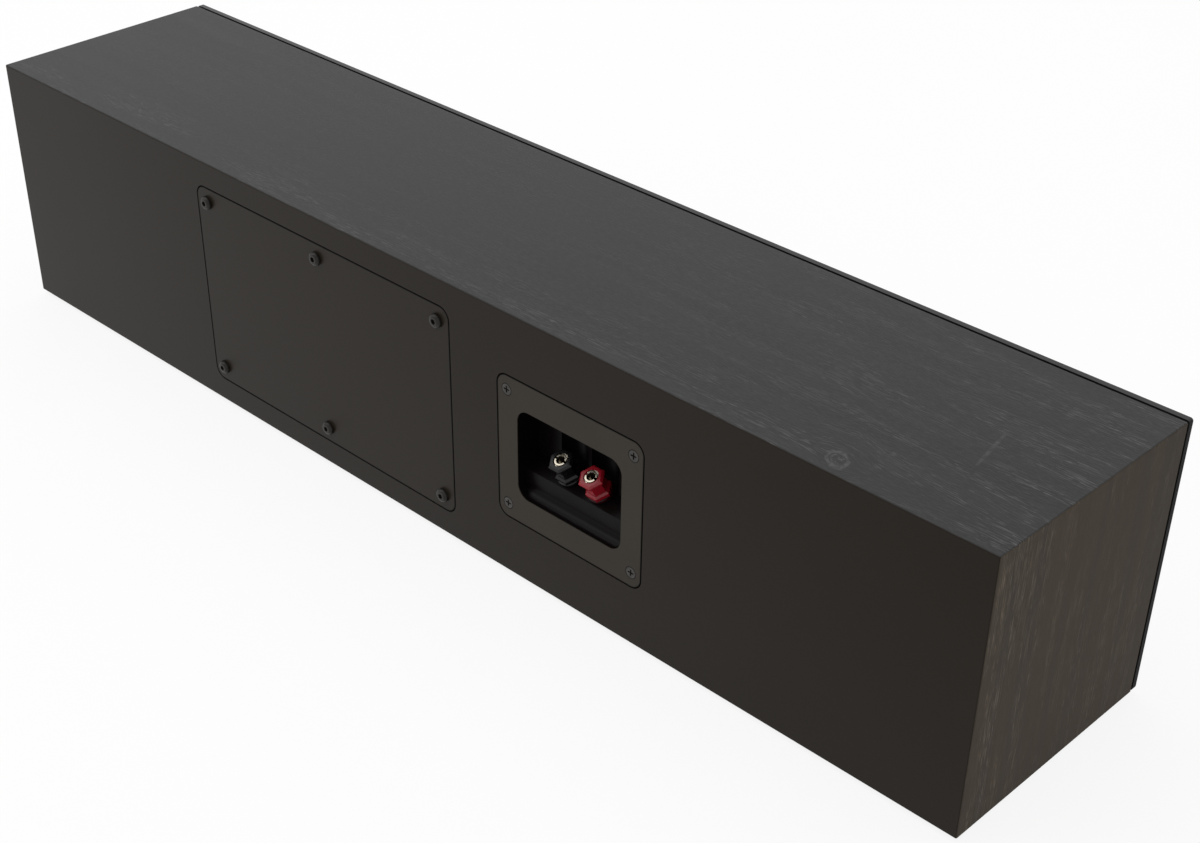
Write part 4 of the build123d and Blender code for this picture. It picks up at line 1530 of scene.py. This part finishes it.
@dataclass
class Studio:
    """The floor, the lights and the camera."""

    floor_half: float = 4.0
    floor_colour: Colour = (0.94, 0.94, 0.94)
    floor_tint: float = 1.02
    floor_mottle: float = 3.0
    floor_glow: float = 0.86
    ambient: float = 0.70
    camera_place: tuple[float, float, float] = (-0.62262, 0.58594, 0.55738)
    camera_right: tuple[float, float, float] = (-0.70997, -0.70422, 0.00264)
    camera_up: tuple[float, float, float] = (0.40471, -0.40495, 0.81989)
    lens: float = 58.89
    sensor: float = 36.0
    shift: Point = (0.02656, 0.08613)
    lamps: Sequence[tuple[str, tuple[float, float, float], Point, float]] = field(
        default_factory=lambda: (
            ("overhead", (0.45, 0.00, 1.90), (2.4, 1.6), 13.0),
            ("behind_left", (1.30, 1.50, 1.20), (1.2, 1.0), 6.0),
        )
    )

    def build(self) -> None:
        """Set up the whole studio."""
        self._colours()
        self._world()
        self._floor()
        self._light()
        self._camera()

    @staticmethod
    def _seen(graph: Graph) -> bpy.types.NodeSocket:
        """Tell the rays that show the background from those that light the object.

        Args:
            graph: The graph of the floor or the world.

        Returns:
            1 for camera, glossy and transmission rays, and 0 for others.
        """
        path = graph.add("ShaderNodeLightPath").outputs
        seen = graph.larger(path["Is Camera Ray"], path["Is Glossy Ray"])
        return graph.larger(seen, path["Is Transmission Ray"])

    @staticmethod
    def _colours() -> None:
        """Show colours as they are written."""
        bpy.context.scene.view_settings.view_transform = "Standard"

    def _world(self) -> None:
        """Surround the scene with white that lights it softly."""
        world = bpy.data.worlds.new("studio")
        world.use_nodes = True
        graph = Graph(world.node_tree)
        strength = graph.lerp(self._seen(graph), self.ambient, 1.0)
        back = graph.add("ShaderNodeBackground", {"Color": WHITE, "Strength": strength})
        end = graph.add("ShaderNodeOutputWorld")
        graph.feed(end.inputs["Surface"], back.outputs[0])
        bpy.context.scene.world = world

    def _floor(self) -> None:
        """Lay a pale floor that looks white and keeps a faint shadow."""
        half = self.floor_half
        corners = [(-half, -half, 0.0), (half, -half, 0.0), (half, half, 0.0), (-half, half, 0.0)]
        mesh = bpy.data.meshes.new("floor")
        mesh.from_pydata(corners, [], [(0, 1, 2, 3)])
        floor = bpy.data.objects.new("floor", mesh)
        bpy.context.scene.collection.objects.link(floor)
        made = bpy.data.materials.new("floor_paper")
        made.use_nodes = True
        graph = Graph(made.node_tree)
        mottle = graph.remap(graph.noise(graph.place(), scale=self.floor_mottle), 0.3, 0.7)
        paler = tuple(part * self.floor_tint for part in self.floor_colour)
        tint = graph.mix(mottle, self.floor_colour, paler)
        paper = graph.add("ShaderNodeBsdfDiffuse", {"Color": tint})
        glow = graph.add("ShaderNodeEmission", {"Color": WHITE, "Strength": 1.0})
        share = graph.times(self._seen(graph), self.floor_glow)
        both = graph.add("ShaderNodeMixShader", {0: share, 1: paper.outputs[0], 2: glow.outputs[0]})
        end = graph.add("ShaderNodeOutputMaterial")
        graph.feed(end.inputs["Surface"], both.outputs[0])
        mesh.materials.append(made)
        floor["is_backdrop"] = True

    def _light(self) -> None:
        """Hang the soft lamps, each turned to the middle of the cabinet."""
        low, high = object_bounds()
        target = Vector(low).lerp(Vector(high), 0.5)
        for name, place, size, power in self.lamps:
            data = bpy.data.lights.new(name, "AREA")
            data.shape = "RECTANGLE"
            data.size, data.size_y = size
            data.energy = power
            lamp = bpy.data.objects.new(name, data)
            lamp.location = place
            lamp.rotation_euler = (target - Vector(place)).to_track_quat("-Z", "Y").to_euler()
            bpy.context.scene.collection.objects.link(lamp)

    def _camera(self) -> None:
        """Stand the camera where the photograph was taken from."""
        data = bpy.data.cameras.new("camera")
        data.sensor_width = self.sensor
        data.lens = self.lens
        data.shift_x, data.shift_y = self.shift
        camera = bpy.data.objects.new("camera", data)
        right = Vector(self.camera_right).normalized()
        up = Vector(self.camera_up)
        up = (up - right * up.dot(right)).normalized()
        turned = Matrix((right, up, right.cross(up))).transposed().to_4x4()
        camera.matrix_world = Matrix.Translation(self.camera_place) @ turned
        bpy.context.scene.collection.objects.link(camera)
        bpy.context.scene.camera = camera


def main() -> None:
    """Load the frame, build each sub-assembly, dress it, log how many pieces it built and set up the studio.
    """
    logging.basicConfig(level=logging.INFO, format="%(name)s: %(message)s")
    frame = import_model()
    back_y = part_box("rear_panel")[1].y
    sockets = [mount for mount in frame["record"]["mounts"] if mount["kind"] == "bore"]
    materials = finishes(back_y, sockets, EffectGroups())
    shared = (frame, materials)
    assemblies: list[SubAssembly] = [
        Cabinet(*shared),
        AccessCover(*shared),
        TerminalCup(*shared),
        Tweeter(*shared),
        WooferMotors(*shared),
    ]
    assemblies += [Woofer(*shared, number=number) for number in range(1, WOOFERS + 1)]
    for assembly in assemblies:
        pieces = assembly.build()
        assembly.dress()
        LOG.info("%s built %d pieces", type(assembly).__name__, len(pieces))
    Studio().build()


if __name__ == "__main__":
    main()
